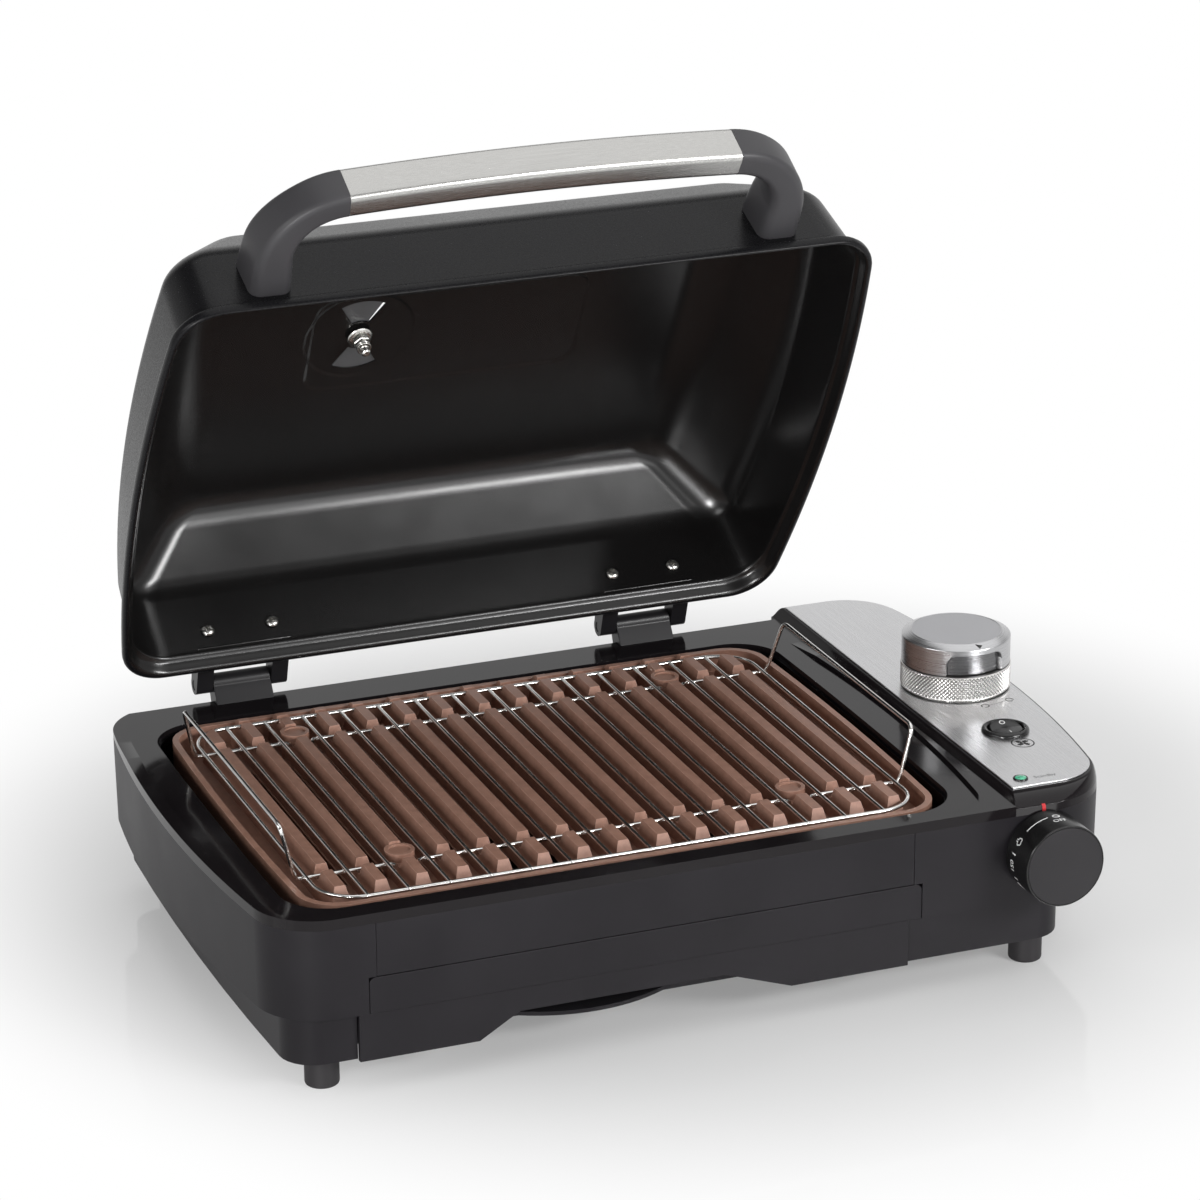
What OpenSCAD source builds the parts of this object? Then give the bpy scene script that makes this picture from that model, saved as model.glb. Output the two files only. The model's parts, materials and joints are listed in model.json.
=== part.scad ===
// Electric indoor grill: moulded body with a console on the right, a slotted ribbed plate with a
// wire rack, a pull-out drip tray and a hinged lid that rests open. Millimetres, Z up, the part
// stands on z = 0, the front faces -Y and x = 0 is the middle of the body.

/* [Body] */
// width over the widest part of the housing
body_w = 437; // [434:1:446]
// depth of the housing
body_d = 280; // [278:1:288]
// height of the glossy rim above the table
rim_z = 88.5; // [87:0.5:94]
// length of the feet
foot_h = 17.6; // [15:0.2:18]
// diameter of a foot
foot_d = 16; // [12:0.5:17]
// height of the recessed base skirt
skirt_h = 22.3; // [21.4:0.1:23]
// height of the upper face of the tray front
strip_h = 17.5; // [16:0.5:18]
// wall thickness of the moulded housing
wall_t = 2.5; // [2:0.1:3]
// outward bulge of the left side
bow_left = 12; // [9:1:13]
// outward bulge of the right side
bow_right = 16; // [12:1:18]
// radius of the front corner below the console
corner_r = 38; // [34:1:40]
// radius of the front left corner
corner_l = 31; // [28:1:33]
// radius of the rear corners
rear_r = 30; // [26:1:33]

/* [Grill] */
// width of the body beside the basin on the left
shelf_left = 22.6; // [22:0.1:25]
// width of the body between the basin and the console
shelf_right = 20.7; // [20.5:0.1:22]
// gap between the grill plate and the sides of the basin
plate_play = 6.7; // [6.5:0.1:8]
// gap between the grill plate and the front and back of the basin
plate_end_play = 3; // [2:0.1:3.5]
// number of ribs on the plate
rib_n = 15; // [13:2:15]
// height of a rib above the plate floor
rib_h = 13.2; // [12:0.1:14]
// land between a rib and a fat slot
slot_land = 0.5; // [0.4:0.1:1.5]
// width of a rib along its top
rib_top_w = 5; // [3.5:0.5:6]
// width of the fat slots between ribs
slot_w = 6; // [4:0.5:6.5]
// diameter of the rack wire
wire_d = 2; // [1.8:0.1:2.4]
// height of the rack handles above the rack
rack_handle_h = 25; // [18:0.5:26]
// diameter of the heating rod
rod_d = 6.5; // [6:0.1:7]

/* [Lid] */
// reach of the lid past the sides of the basin
lid_side_reach = 15; // [12:0.5:15]
// reach of the lid past the front of the basin
lid_front_reach = 10.5; // [8:0.1:11]
// height of the lid above its rim
lid_h = 81.5; // [74:0.5:90]
// height of the fold between wall and sloped shoulder
fold_h = 47; // [40:1:52]
// thickness of the lid sheet
lid_t = 1.2; // [1:0.1:1.6]
// angle of the lid at rest above its closed position
lid_open = 60; // [50:1:62]
// length of the steel grip
grip_len = 189; // [170:1:200]
// height of the grip section
grip_h = 20.5; // [18:0.5:23]
// thickness of the grip section
grip_t = 14; // [12:0.5:16]
// bend radius of the grip brackets
bracket_r = 34; // [30:1:37]
// diameter of the hinge pins
pin_d = 5; // [4:0.5:5.5]

/* [Console] */
// width of the console
console_w = 63.7; // [62:0.1:65]
// rise of the console above the rim
console_rise = 3.2; // [2:0.1:4]
// thickness of the console sheet
sheet_t = 0.8; // [0.6:0.1:1]
// diameter of the smoker cup
cup_d = 54.6; // [51:0.2:55]
// height of the knurled ring
ring_h = 12.2; // [10:0.2:14]
// height of the turning cap
cap_h = 14.7; // [12:0.1:16]
// diameter of the thermostat knob
knob_d = 40.2; // [34:0.2:41]
// depth of the thermostat knob
knob_l = 21.8; // [18:0.2:24]
// diameter of the shafts' bearing journal
shaft_d = 6; // [5:0.5:6]
// outer diameter of the rocker bezel
bezel_d = 23.2; // [21:0.2:24]

/* [Tray] */
// gap between the drip tray and the line below the basin's sides
tray_inset = 37; // [36.5:0.5:41]
// height of the drip tray pan
tray_h = 24; // [18:0.5:25]
// width of the finger arch along its top
arch_w = 100.7; // [80:0.5:104]
// height of the finger arch
arch_h = 10.4; // [7:0.2:11]

/* [Hidden] */
gap = 0.3;              // clearance between pieces that move or seat
fit = 0.05;             // radial clearance of a running fit
eps = 0.01;
fine = 40;
wire_fn = 12;           // sides of a drawn wire

// heights
z_step = foot_h + skirt_h;
z_strip = z_step + strip_h;
frame_t = 5;
z_house = rim_z - frame_t;
z_ledge = rim_z - 1.8;
z_deck = rim_z + console_rise;
z_sheet = z_deck + sheet_t;

// plan of the body
half_w = body_w / 2;
console_x = half_w - console_w;
basin_x0 = shelf_left - half_w;
basin_x1 = console_x - shelf_right;
grill_x = (basin_x0 + basin_x1) / 2;
basin_w = basin_x1 - basin_x0;
basin_hw = basin_w / 2;
basin_y0 = 15;
basin_y1 = body_d - 28;
taper = 0.6;
rim_y1 = body_d - 4.5;
base_x = -10;
base_hw = half_w - 22.4;
base_y0 = 3;
base_y1 = body_d - 10;
base_r = 17;
base_bow = 4;
floor_t = 2;
feet_x = -6.4;
foot_x = base_hw - 19.8;
foot_y0 = base_y0 + 18;
foot_y1 = base_y1 - 15;
base_screw_x = base_hw - 8.6;
base_screw_y = [base_y0 + 37, base_y1 - 37];
base_screw_r = 1.5;

// tray front
strip_x0 = grill_x - basin_hw + 30;
strip_x1 = grill_x + basin_hw - 29.5;
face_x0 = strip_x0 - 5;
face_x1 = strip_x1 - 6;
arch_x = grill_x - 13.2;
arch_slope_l = 22;
arch_slope_r = 36;
face_t = 2.8;
face_z = foot_h - 1;
tray_x = grill_x - 4;
tray_w = basin_w - 2 * tray_inset;
tray_y0 = basin_y0 + 3;
tray_y1 = basin_y1 - 2;
tray_z = foot_h + floor_t + gap;
tray_t = 1.2;
scoop_r = 75;
scoop_x = grill_x - 23;
scoop_y = 8.5;
seam_hw = basin_hw - 33.5;

// basin
basin_r = 24;
basin_t = 1.2;
basin_z = z_house - 33.5;
drop_edge = 4;
drop_hw = tray_w / 2 - drop_edge;
drop_y0 = basin_y0 + 25;
drop_y1 = basin_y1 - 24;

// plate
plate_y0 = basin_y0 + plate_end_play + 0.5;
plate_y1 = basin_y1 - plate_end_play + 0.5;
plate_hw = basin_hw - plate_play;
rib_margin = 12.05;
rib_pitch = (2 * plate_hw - 2 * rib_margin) / rib_n;
rib_base_w = rib_pitch - slot_w - 2 * slot_land;
plate_rim_z = rim_z - 2.5;
floor_top = rim_z - 13.5;
plate_t = 3;
rib_top = floor_top + rib_h;
plate_r = 20;
apron_h = 6;
boss_d = 14;
boss_col = 5;
boss_y = [plate_y0 + 47.5, plate_y1 - 28];
leg_d = 10;
notch_y = [plate_y0 + 39, plate_y1 - 35];
notch_hw = 3.1;
rib_y0 = plate_y0 + 11.5;
rib_y1 = plate_y1 - 1.5;
slot_y0 = plate_y0 + 45.5;
slot_y1 = plate_y1 - 45;

// rack
rack_z = rib_top - 2;
cross_z = rack_z - wire_d + 0.1;
notch_z = cross_z - wire_d / 2 - gap;
rack_y0 = plate_y0 + 5.3;
rack_y1 = plate_y1 - 10;
rack_hw = rib_pitch * rib_n / 2;
rack_r = 20;
loop_hw = rack_hw + 3.9;
loop_top_hw = loop_hw + 6.6;
stub_hw = rack_hw + 1.4;

// heating rod and cradles
rod_z = floor_top - 15;
rod_step = (drop_y1 - drop_y0 - 26) / 3;
rod_y = [for (i = [0:3]) drop_y0 + 10 + i * rod_step];
cradle_z = rod_z - rod_d / 2 - 1.5;
cradle_t = 1.5;
cradle_w = 14;
block_x0 = grill_x + basin_hw + gap;
block_x1 = block_x0 + 13;

// lid, drawn closed and then swung open about the hinge
hinge_y = body_d - 0.7;
hinge_z = rim_z + 6.6;
lid_hw = basin_hw + lid_side_reach;
lid_y1 = hinge_y - 18.6;
lid_y0 = basin_y0 - lid_front_reach;
lid_z = rim_z - 1.5;
fade_y = [lid_y1 - 46, lid_y1 - 20];
lid_r = 23;
lid_bow = 9.5;
lip_h = 5;
// height, half width, front and rear insets from the rim, corner radius and bulge of the lid wall
wall_low = [lip_h, lid_hw - 5, 2.6, 6, 22, 9.5];
wall_top = [fold_h, lid_hw - 8, 7.8, 9.5, 21, 9.5];
crown = [lid_h, lid_hw - 45.5, 33.7, 31.5, 16, 4];
crown_in = [lid_h, lid_hw - 59, 44.5, 41, 10, 3];
fold_blend = 6;
crown_blend = 10;
leaf_x0 = 84;
leaf_x1 = 131;
knuckle_w = 8.4;
arm_x0 = leaf_x0 + knuckle_w + gap;
arm_x1 = leaf_x1 - knuckle_w - gap;
barrel_r = 4.75;
leaf_t = 3.2;
screw_h = 19.5;
screw_x = [leaf_x0 + 6.8, leaf_x1 - 7];

// grip
grip_y = lid_y0 - 45.7;
grip_z = lid_z + 21.7;
grip_wall = 1.6;
grip_arch = 3.1;
grip_big = (pow(grip_len / 2, 2) + pow(grip_arch, 2)) / (2 * grip_arch);
grip_tilt = asin(grip_len / 2 / grip_big);
spigot_l = 9;
bracket_leg_x = grip_len / 2 + bracket_r * (1 - sin(grip_tilt));
bracket_x = bracket_leg_x - 1.3;
bracket_base_w = 20;
bracket_base_h = 28;
bracket_base_z = 24;
bracket_screw_h = [15, 31];

// vent in the lid crown
vent_x = grill_x - 46;
vent_y = lid_y0 + 113.9;
vent_r = 27;
vent_in = 9;
vent_out = 23;
vent_half = 30;
stud_d = 5;
dial_t = 1.4;
dial_turn = 56;
panel_x0 = grill_x - 70.5;
panel_x1 = grill_x + 70.5;
panel_y0 = vent_y - 26;
panel_y1 = vent_y + 35;
emboss = 0.5;

// console
plate_gap = 2;
console_front = 12.6;
console_side = 0.6;
console_back = 3;
console_left = [-4, -4, -1.6, 1.4];
frame_x1 = console_x - 2.4;
sheet_in = 1.2;
cup_x = console_x + 36;
cup_y = body_d / 2 + 4.5;
cup_r = cup_d / 2;
well_r = cup_r - 4.6;
well_t = 1;
well_z = z_house - 24;
ring_z = z_sheet + 0.5 + gap;
cap_z = ring_z + ring_h + gap;
bowl_r = well_r - well_t - 0.6;
bowl_t = 1.2;
notch_half = 36.5;
notch_rise = 8.6;
rocker_x = console_x + 30.9;
rocker_y = 78.4;
rocker_z = z_sheet - 3;
rocker_tilt = 7;
rocker_w = 11.4;
rocker_l = 14.4;
lens_x = console_x + 10.5;
lens_y = 21.6;
lens_d = 7;
knob_x = console_x + 12.3;
knob_z = rim_z - 23.5;
knob_y1 = -1.2;
knob_y0 = knob_y1 - knob_l;
knob_wall = 2;
bushing_d = 9;
shaft_r = shaft_d / 2;
thermo_y0 = 8;
thermo_size = [30, 20, 20];
mark_w = 1.8;

// fan
fan_x = half_w - 58.5;
fan_z = z_house - 20.8;
fan_y0 = body_d - 23;
fan_y1 = body_d - 10;
fan_sq = 40;
duct_r = 18;
fan_r = 16.8;
hub_r = 6;
blade_n = 7;
motor_r = 10;
motor_l = 14;
fan_shaft_r = 1.5;
gland_x = fan_x - 48;
gland_z = z_house - 24;

// the part is centred in Y between the knob and the back of the open lid
lid_back = hinge_y + (lid_y1 - crown[3] - hinge_y) * cos(lid_open)
         + (lid_z + lid_h - hinge_z) * sin(lid_open);
origin_y = (knob_y0 + lid_back) / 2;

// ---------- outlines ----------
function arc(cx, cy, r, a0, a1, n) =
    [for (i = [0:n]) let (a = a0 + (a1 - a0) * i / n) [cx + r * cos(a), cy + r * sin(a)]];
// right half of an outline, front to rear, with a bulging side
function flank(hw, y0, y1, rf, rr, bow) =
    let (d = y1 - y0, big = (d * d / 4 + bow * bow) / (2 * bow), cx = hw - big,
         cy = (y0 + y1) / 2,
         fx = cx + sqrt(pow(big - rf, 2) - pow(cy - y0 - rf, 2)),
         rx = cx + sqrt(pow(big - rr, 2) - pow(y1 - rr - cy, 2)),
         af = atan2(y0 + rf - cy, fx - cx), ar = atan2(y1 - rr - cy, rx - cx),
         side = arc(cx, cy, big, af, ar, 6))
    concat(arc(fx, y0 + rf, rf, -90, af, 7), [for (i = [1:5]) side[i]],
           arc(rx, y1 - rr, rr, ar, 90, 7));
function moved(pts, dx) = [for (p = pts) [p[0] + dx, p[1]]];
function flipped(pts) = [for (i = [len(pts) - 1:-1:0]) [-pts[i][0], pts[i][1]]];
// symmetric outline about x = cx
function pad(cx, hw, y0, y1, r, bow) =
    let (f = flank(hw, y0, y1, r, r, bow)) moved(concat(f, flipped(f)), cx);
// outline of the body at a given inset
function body_plan(side, y_in) =
    concat(flank(half_w - side, y_in, body_d - y_in, corner_r - y_in, rear_r - y_in, bow_right),
           flipped(flank(half_w - side, y_in, body_d - y_in, corner_l - y_in, rear_r - y_in,
                         bow_left)));
// outline of the console from its left edge
function console_plan(x0, side, y0, y1) =
    concat([[x0, y0]],
           flank(half_w - side, y0, y1, corner_r - y0, rear_r - side,
                 bow_right * pow((y1 - y0) / body_d, 2)),
           [[x0, y1]]);
function mix(a, b, t) = [for (i = [0:len(a) - 1]) a[i] + (b[i] - a[i]) * t];
function bend(a, b, c, n) = [for (i = [0:n]) let (t = i / n) mix(mix(a, b, t), mix(b, c, t), t)];
// stations of the lid wall from the lip to the crown
lid_rows = concat([wall_low],
    bend(mix(wall_top, wall_low, fold_blend / (fold_h - lip_h)), wall_top,
         mix(wall_top, crown, fold_blend / (lid_h - fold_h)), 4),
    bend(mix(crown, wall_top, crown_blend / (lid_h - fold_h)), crown, crown_in, 4));
front_rows = [[0, z_house], [0.8, z_house + 3], [5, z_deck - 2.2], [console_front, z_deck]];

module place() { translate([0, -origin_y, 0]) children(); }
module lid_place() {
    place() translate([0, hinge_y, hinge_z]) rotate([-lid_open, 0, 0])
        translate([0, -hinge_y, -hinge_z]) children();
}
module slab(pts, z0, z1) { translate([0, 0, z0]) linear_extrude(z1 - z0) polygon(pts); }
module block(x0, x1, y0, y1, z0, z1) { translate([x0, y0, z0]) cube([x1 - x0, y1 - y0, z1 - z0]); }
module pin_x(x0, x1, y, z, r) {
    translate([x0, y, z]) rotate([0, 90, 0]) cylinder(r = r, h = x1 - x0, $fn = fine);
}
module pin_y(x, y0, y1, z, r) {
    translate([x, y0, z]) rotate([-90, 0, 0]) cylinder(r = r, h = y1 - y0, $fn = fine);
}
module pin_z(x, y, z0, z1, r) { translate([x, y, z0]) cylinder(r = r, h = z1 - z0, $fn = fine); }
module both() { children(); translate([2 * grill_x, 0, 0]) mirror([1, 0, 0]) children(); }
function rib_x(i) = grill_x + (i - (rib_n - 1) / 2) * rib_pitch;
boss_x = [rib_x((rib_n - 1) / 2 - boss_col), rib_x((rib_n - 1) / 2 + boss_col)];

// ---------- base, housing and frame ----------
module base_plan(d) {
    polygon(pad(base_x, base_hw - d, base_y0 + d, base_y1 - d, base_r - d, base_bow));
}
module base_pan() {
    color("#26272a") place() difference() {
        union() {
            difference() {
                translate([0, 0, foot_h]) linear_extrude(skirt_h) base_plan(0);
                translate([0, 0, foot_h + floor_t]) linear_extrude(skirt_h) base_plan(wall_t);
                block(face_x0 - gap, face_x1 + gap, -5, tray_y0 - 0.5, foot_h - 1, z_step + 1);
            }
            intersection() {
                pin_z(scoop_x, scoop_y + scoop_r, foot_h, foot_h + floor_t, scoop_r);
                block(face_x0, face_x1, 0, tray_y0, foot_h, foot_h + floor_t);
            }
            for (s = [-1, 1], y = base_screw_y)
                pin_z(base_x + s * base_screw_x, y, foot_h, z_step, 4.5);
        }
        for (s = [-1, 1], y = base_screw_y) {
            pin_z(base_x + s * base_screw_x, y, foot_h - 1, z_step + 1, base_screw_r + fit);
            pin_z(base_x + s * base_screw_x, y, foot_h - 1, foot_h + 1.3, 3);
        }
        for (i = [0:6])
            block(fan_x - 32 + 7 * i, fan_x - 28.5 + 7 * i, 188, 223, foot_h - 1, foot_h + floor_t + 1);
    }
}
module feet() {
    color("#1b1b1c") place() for (s = [-1, 1], y = [foot_y0, foot_y1])
        translate([feet_x + s * foot_x, y, 0]) {
            cylinder(d1 = foot_d - 1.2, d2 = foot_d, h = 0.8, $fn = fine);
            translate([0, 0, 0.8]) cylinder(d = foot_d, h = foot_h - 0.8, $fn = fine);
        }
}
module base_screws() {
    color("#b9bcc0") place() for (s = [-1, 1], y = base_screw_y) {
        pin_z(base_x + s * base_screw_x, y, foot_h + 0.1, foot_h + 1.3, 2.7);
        pin_z(base_x + s * base_screw_x, y, foot_h + 1.3, z_step + 2, base_screw_r);
    }
}
module housing() {
    color("#2a2b2e") place() difference() {
        union() {
            difference() {
                hull() {
                    slab(body_plan(taper, 0), z_step, z_step + eps);
                    slab(body_plan(0, 0), z_house - eps, z_house);
                }
                hull() {
                    slab(body_plan(taper + wall_t, wall_t), z_step + wall_t, z_step + wall_t + eps);
                    slab(body_plan(wall_t, wall_t), z_house + 1, z_house + 1 + eps);
                }
                translate([0, 0, z_step - 1]) linear_extrude(wall_t + 2) base_plan(wall_t);
            }
            for (s = [-1, 1], y = base_screw_y)
                pin_z(base_x + s * base_screw_x, y, z_step, z_step + wall_t, 6);
            pin_y(knob_x, wall_t - 0.5, thermo_y0, knob_z, bushing_d / 2 + 2.5);
        }
        block(strip_x0 - gap, strip_x1 + gap, -5, tray_y0, z_step - 1, z_strip + gap);
        block(grill_x - seam_hw, grill_x + seam_hw, -5, tray_y0 - 10, z_strip, z_house + 1);
        pin_y(knob_x, -1, thermo_y0 + 1, knob_z, bushing_d / 2 + fit);
        for (s = [-1, 1], y = base_screw_y)
            pin_z(base_x + s * base_screw_x, y, z_step - 1, z_step + wall_t + 1, base_screw_r + fit);
        for (i = [0:5])
            block(fan_x - 16.5 + 6 * i, fan_x - 13.5 + 6 * i, body_d - 6, body_d + 1, fan_z - 14,
                  fan_z + 14);
        pin_y(gland_x, body_d - 6, body_d + 1, gland_z, 4.5 + fit);
    }
}
module front_panel() {
    panel_gap = 0.2;
    color("#2c2d30") place() {
        block(grill_x - seam_hw + panel_gap, grill_x + seam_hw - panel_gap, 0, wall_t,
              z_strip + gap + 0.1, z_house);
        for (s = [-1, 1])
            translate([grill_x + s * seam_hw - 6, wall_t, z_strip + 3])
                cube([12, 1.8, z_house - z_strip - 3]);
    }
}
module top_frame() {
    rear_fall = (z_ledge - z_house) / (body_d - rim_y1);
    color("#111113") place() difference() {
        union() {
            difference() {
                intersection() {
                    slab(body_plan(0, 0), z_house, rim_z);
                    block(-half_w - 1, frame_x1, -1, body_d + 1, z_house - 1, rim_z + 1);
                }
                slab(pad(grill_x, lid_hw + 1.5, lid_y0 - 0.8, lid_y1 + 3.3, lid_r, lid_bow + 0.5), z_ledge,
                     rim_z + 1);
                translate([-half_w - 1, 0, 0]) rotate([90, 0, 90]) linear_extrude(body_w)
                    polygon([[fade_y[0], rim_z], [fade_y[1], z_ledge], [rim_y1, z_ledge],
                             [body_d, z_house], [body_d + 1, z_house - rear_fall], [body_d + 1, rim_z + 1],
                             [fade_y[0], rim_z + 1]]);
            }
            hull() for (i = [0:3])
                slab(console_plan(console_x + console_left[i], console_side * pow(i / 3, 2),
                                  front_rows[i][0], body_d - console_back * pow(i / 3, 2)),
                     front_rows[i][1] - (i > 0 ? eps : 0), front_rows[i][1] + (i > 0 ? 0 : eps));
        }
        slab(pad(grill_x, basin_hw, basin_y0, basin_y1, basin_r, 1.5), z_house - 1, z_ledge + 1);
        slab(console_plan(console_x + 3, 7, 17, body_d - 8), z_house - 1, z_deck - 2.2);
        pin_z(cup_x, cup_y, z_house, z_deck + 1, well_r + 0.3);
        pin_z(rocker_x, rocker_y, z_house, z_deck + 1, bezel_d / 2 - 1.2);
        pin_z(lens_x, lens_y, z_house, z_deck + 1, lens_d / 2 - 0.5);
    }
}
module pointer_mark() {
    out = 0.25;
    mid = front_rows[1];
    top = mix(front_rows[1], front_rows[2], 0.55);
    color("#c3202a") place() translate([knob_x - mark_w / 2, 0, 0]) rotate([90, 0, 90])
        linear_extrude(mark_w) polygon([[0, z_house - 1.6], [0, z_house], mid, top,
            [top[0] - out, top[1] + out], [mid[0] - out, mid[1] + out / 2], [-out, z_house],
            [-out, z_house - 1.6]]);
}
module console_plate() {
    color("#c9cbcd") place() difference() {
        slab(console_plan(console_x + plate_gap, console_side + sheet_in, console_front + 0.2,
                          body_d - console_back - sheet_in), z_deck, z_sheet);
        pin_z(cup_x, cup_y, z_deck - 1, z_sheet + 1, well_r + 0.3);
        pin_z(rocker_x, rocker_y, z_deck - 1, z_sheet + 1, bezel_d / 2 - 1.2);
        pin_z(lens_x, lens_y, z_deck - 1, z_sheet + 1, lens_d / 2 - 0.5);
    }
}

// ---------- basin, rod and plate ----------
module basin_liner() {
    color("#16171a") place() difference() {
        union() {
            slab(pad(grill_x, basin_hw, basin_y0, basin_y1, basin_r, 1.5), basin_z, z_house);
            slab(pad(grill_x, basin_hw + 5, basin_y0 - 5, basin_y1 + 5, basin_r + 4, 1.5),
                 z_house - basin_t, z_house);
        }
        slab(pad(grill_x, basin_hw - basin_t, basin_y0 + basin_t, basin_y1 - basin_t,
                 basin_r - basin_t, 1.5), basin_z + basin_t, z_house + 1);
        slab(pad(grill_x - 4, drop_hw, drop_y0, drop_y1, 18, 0.5), basin_z - 1, basin_z + basin_t + 1);
        for (y = [rod_y[0], rod_y[3]])
            pin_x(grill_x + basin_hw - 12, grill_x + basin_hw + 2, y, rod_z, rod_d / 2 + gap);
    }
}
module heating_element() {
    rod_x0 = grill_x - basin_hw + 37;
    rod_x1 = grill_x + basin_hw - 43;
    turn = (rod_y[1] - rod_y[0]) / 2;
    color("#3a3633") place() {
        pin_x(rod_x0, block_x1 - 4, rod_y[0], rod_z, rod_d / 2);
        pin_x(rod_x0, block_x1 - 4, rod_y[3], rod_z, rod_d / 2);
        for (i = [1, 2]) pin_x(rod_x0, rod_x1, rod_y[i], rod_z, rod_d / 2);
        for (i = [0, 2])
            translate([rod_x0, rod_y[i] + turn, rod_z]) rotate([0, 0, 90])
                rotate_extrude(angle = 180, $fn = 48) translate([turn, 0]) circle(d = rod_d, $fn = 20);
        translate([rod_x1, rod_y[1] + turn, rod_z]) rotate([0, 0, -90])
            rotate_extrude(angle = 180, $fn = 48) translate([turn, 0]) circle(d = rod_d, $fn = 20);
    }
}
module element_cradles() {
    clip_w = 3;
    color("#8d8f92") place() for (x = boss_x) {
        translate([x - cradle_w / 2, 0, 0]) {
            block(0, cradle_w, drop_y0 - 14, drop_y1 + 14, cradle_z - cradle_t, cradle_z);
            for (y = [drop_y0 - 14, drop_y1 + 14 - cradle_t])
                block(0, cradle_w, y, y + cradle_t, basin_z + basin_t, cradle_z);
            for (y = rod_y) block(cradle_w / 2 - clip_w / 2, cradle_w / 2 + clip_w / 2, y - 2, y + 2,
                                  cradle_z, rod_z - rod_d / 2);
        }
    }
}
module terminal_blocks() {
    color("#ddd8cc") place() difference() {
        union() for (y = [rod_y[0], rod_y[3]])
            block(block_x0, block_x1, y - 8, y + 8, rod_z - 8, rod_z + 8);
        for (y = [rod_y[0], rod_y[3]])
            pin_x(block_x0 - 1, block_x1 - 4, y, rod_z, rod_d / 2 + fit);
    }
}
module rib_field() {
    rear_hw = 1.6;
    rear_notch_z = rack_z - wire_d / 2 - gap;
    intersection() {
        union() for (i = [0:rib_n - 1])
            translate([rib_x(i), rib_y1 + 1, 0]) rotate([90, 0, 0]) linear_extrude(rib_y1 - rib_y0 + 2)
                polygon([[-rib_base_w / 2, floor_top - 1], [rib_base_w / 2, floor_top - 1],
                         [rib_top_w / 2, rib_top], [-rib_top_w / 2, rib_top]]);
        union() {
            slab(pad(grill_x, rack_hw - wire_d / 2 - gap, rack_y0 + 1.5, rack_y1 - wire_d / 2 - gap,
                     rack_r - wire_d / 2 - gap, 0.5), floor_top - 2, rib_top + 1);
            block(grill_x - rack_hw + rack_r, grill_x + rack_hw - rack_r, rack_y1 - 10, plate_y1,
                  floor_top - 2, rib_top + 1);
        }
        translate([grill_x - plate_hw, 0, 0]) rotate([90, 0, 90]) linear_extrude(2 * plate_hw)
            polygon(concat([[rib_y0, floor_top - 1], [rib_y0 + 4.5, rib_top]],
                [for (y = notch_y, k = [[-notch_hw - 0.9, rib_top], [-notch_hw, notch_z],
                                        [notch_hw, notch_z], [notch_hw + 0.9, rib_top]])
                    [y + k[0], k[1]]],
                [[rack_y1 - rear_hw, rib_top], [rack_y1 - rear_hw, rear_notch_z],
                 [rack_y1 + rear_hw, rear_notch_z], [rack_y1 + rear_hw, rib_top],
                 [rib_y1 - 3.5, rib_top], [rib_y1, plate_rim_z - 0.5], [rib_y1, floor_top - 1]]));
    }
}
module grill_plate() {
    boss_top = rib_top - 1;
    floor_z = floor_top - plate_t;
    color("#6d4a3c") place() difference() {
        union() {
            difference() {
                slab(pad(grill_x, plate_hw, plate_y0, plate_y1, plate_r, 3), floor_z - apron_h,
                     plate_rim_z);
                slab(pad(grill_x, plate_hw - plate_t, plate_y0 + plate_t, plate_y1 - plate_t,
                         plate_r - plate_t, 3), floor_top, plate_rim_z + 1);
                slab(pad(grill_x, plate_hw - plate_t, plate_y0 + plate_t, plate_y1 - plate_t,
                         plate_r - plate_t, 3), floor_z - apron_h - 1, floor_z);
                for (y = [plate_y0 - 1, plate_y1 - 51])
                    block(grill_x - plate_hw - 1, grill_x + plate_hw + 1, y, y + 52, floor_z - apron_h - 1,
                          floor_z);
            }
            difference() {
                rib_field();
                for (x = boss_x, y = boss_y) pin_z(x, y, boss_top, rib_top + 1, boss_d / 2);
            }
            for (x = boss_x, y = boss_y) {
                pin_z(x, y, floor_z, boss_top, boss_d / 2);
                pin_z(x, y, cradle_z + gap, floor_z + 1, leg_d / 2);
            }
        }
        for (x = boss_x, y = boss_y) pin_z(x, y, boss_top - 0.8, rib_top, boss_d / 2 - 1.8);
        for (i = [0:rib_n - 2]) {
            x = (rib_x(i) + rib_x(i + 1)) / 2;
            block(x - slot_w / 2, x + slot_w / 2, slot_y0, slot_y1, floor_z - 1, floor_top + 1);
            for (y = [slot_y0, slot_y1]) pin_z(x, y, floor_z - 1, floor_top + 1, slot_w / 2);
        }
    }
}
module rod_x(x0, x1, y, z) {
    translate([x0, y, z]) rotate([90, 0, 90]) cylinder(d = wire_d, h = x1 - x0, $fn = wire_fn);
}
module rod_y(x, y0, y1, z) {
    translate([x, y0, z]) rotate([-90, 0, 0]) cylinder(d = wire_d, h = y1 - y0, $fn = wire_fn);
}
module turn_wire(x, y, z, r, a) {
    translate([x, y, z]) rotate([0, 0, a]) rotate_extrude(angle = 90, $fn = 32)
        translate([r, 0]) circle(d = wire_d, $fn = wire_fn);
}
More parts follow.
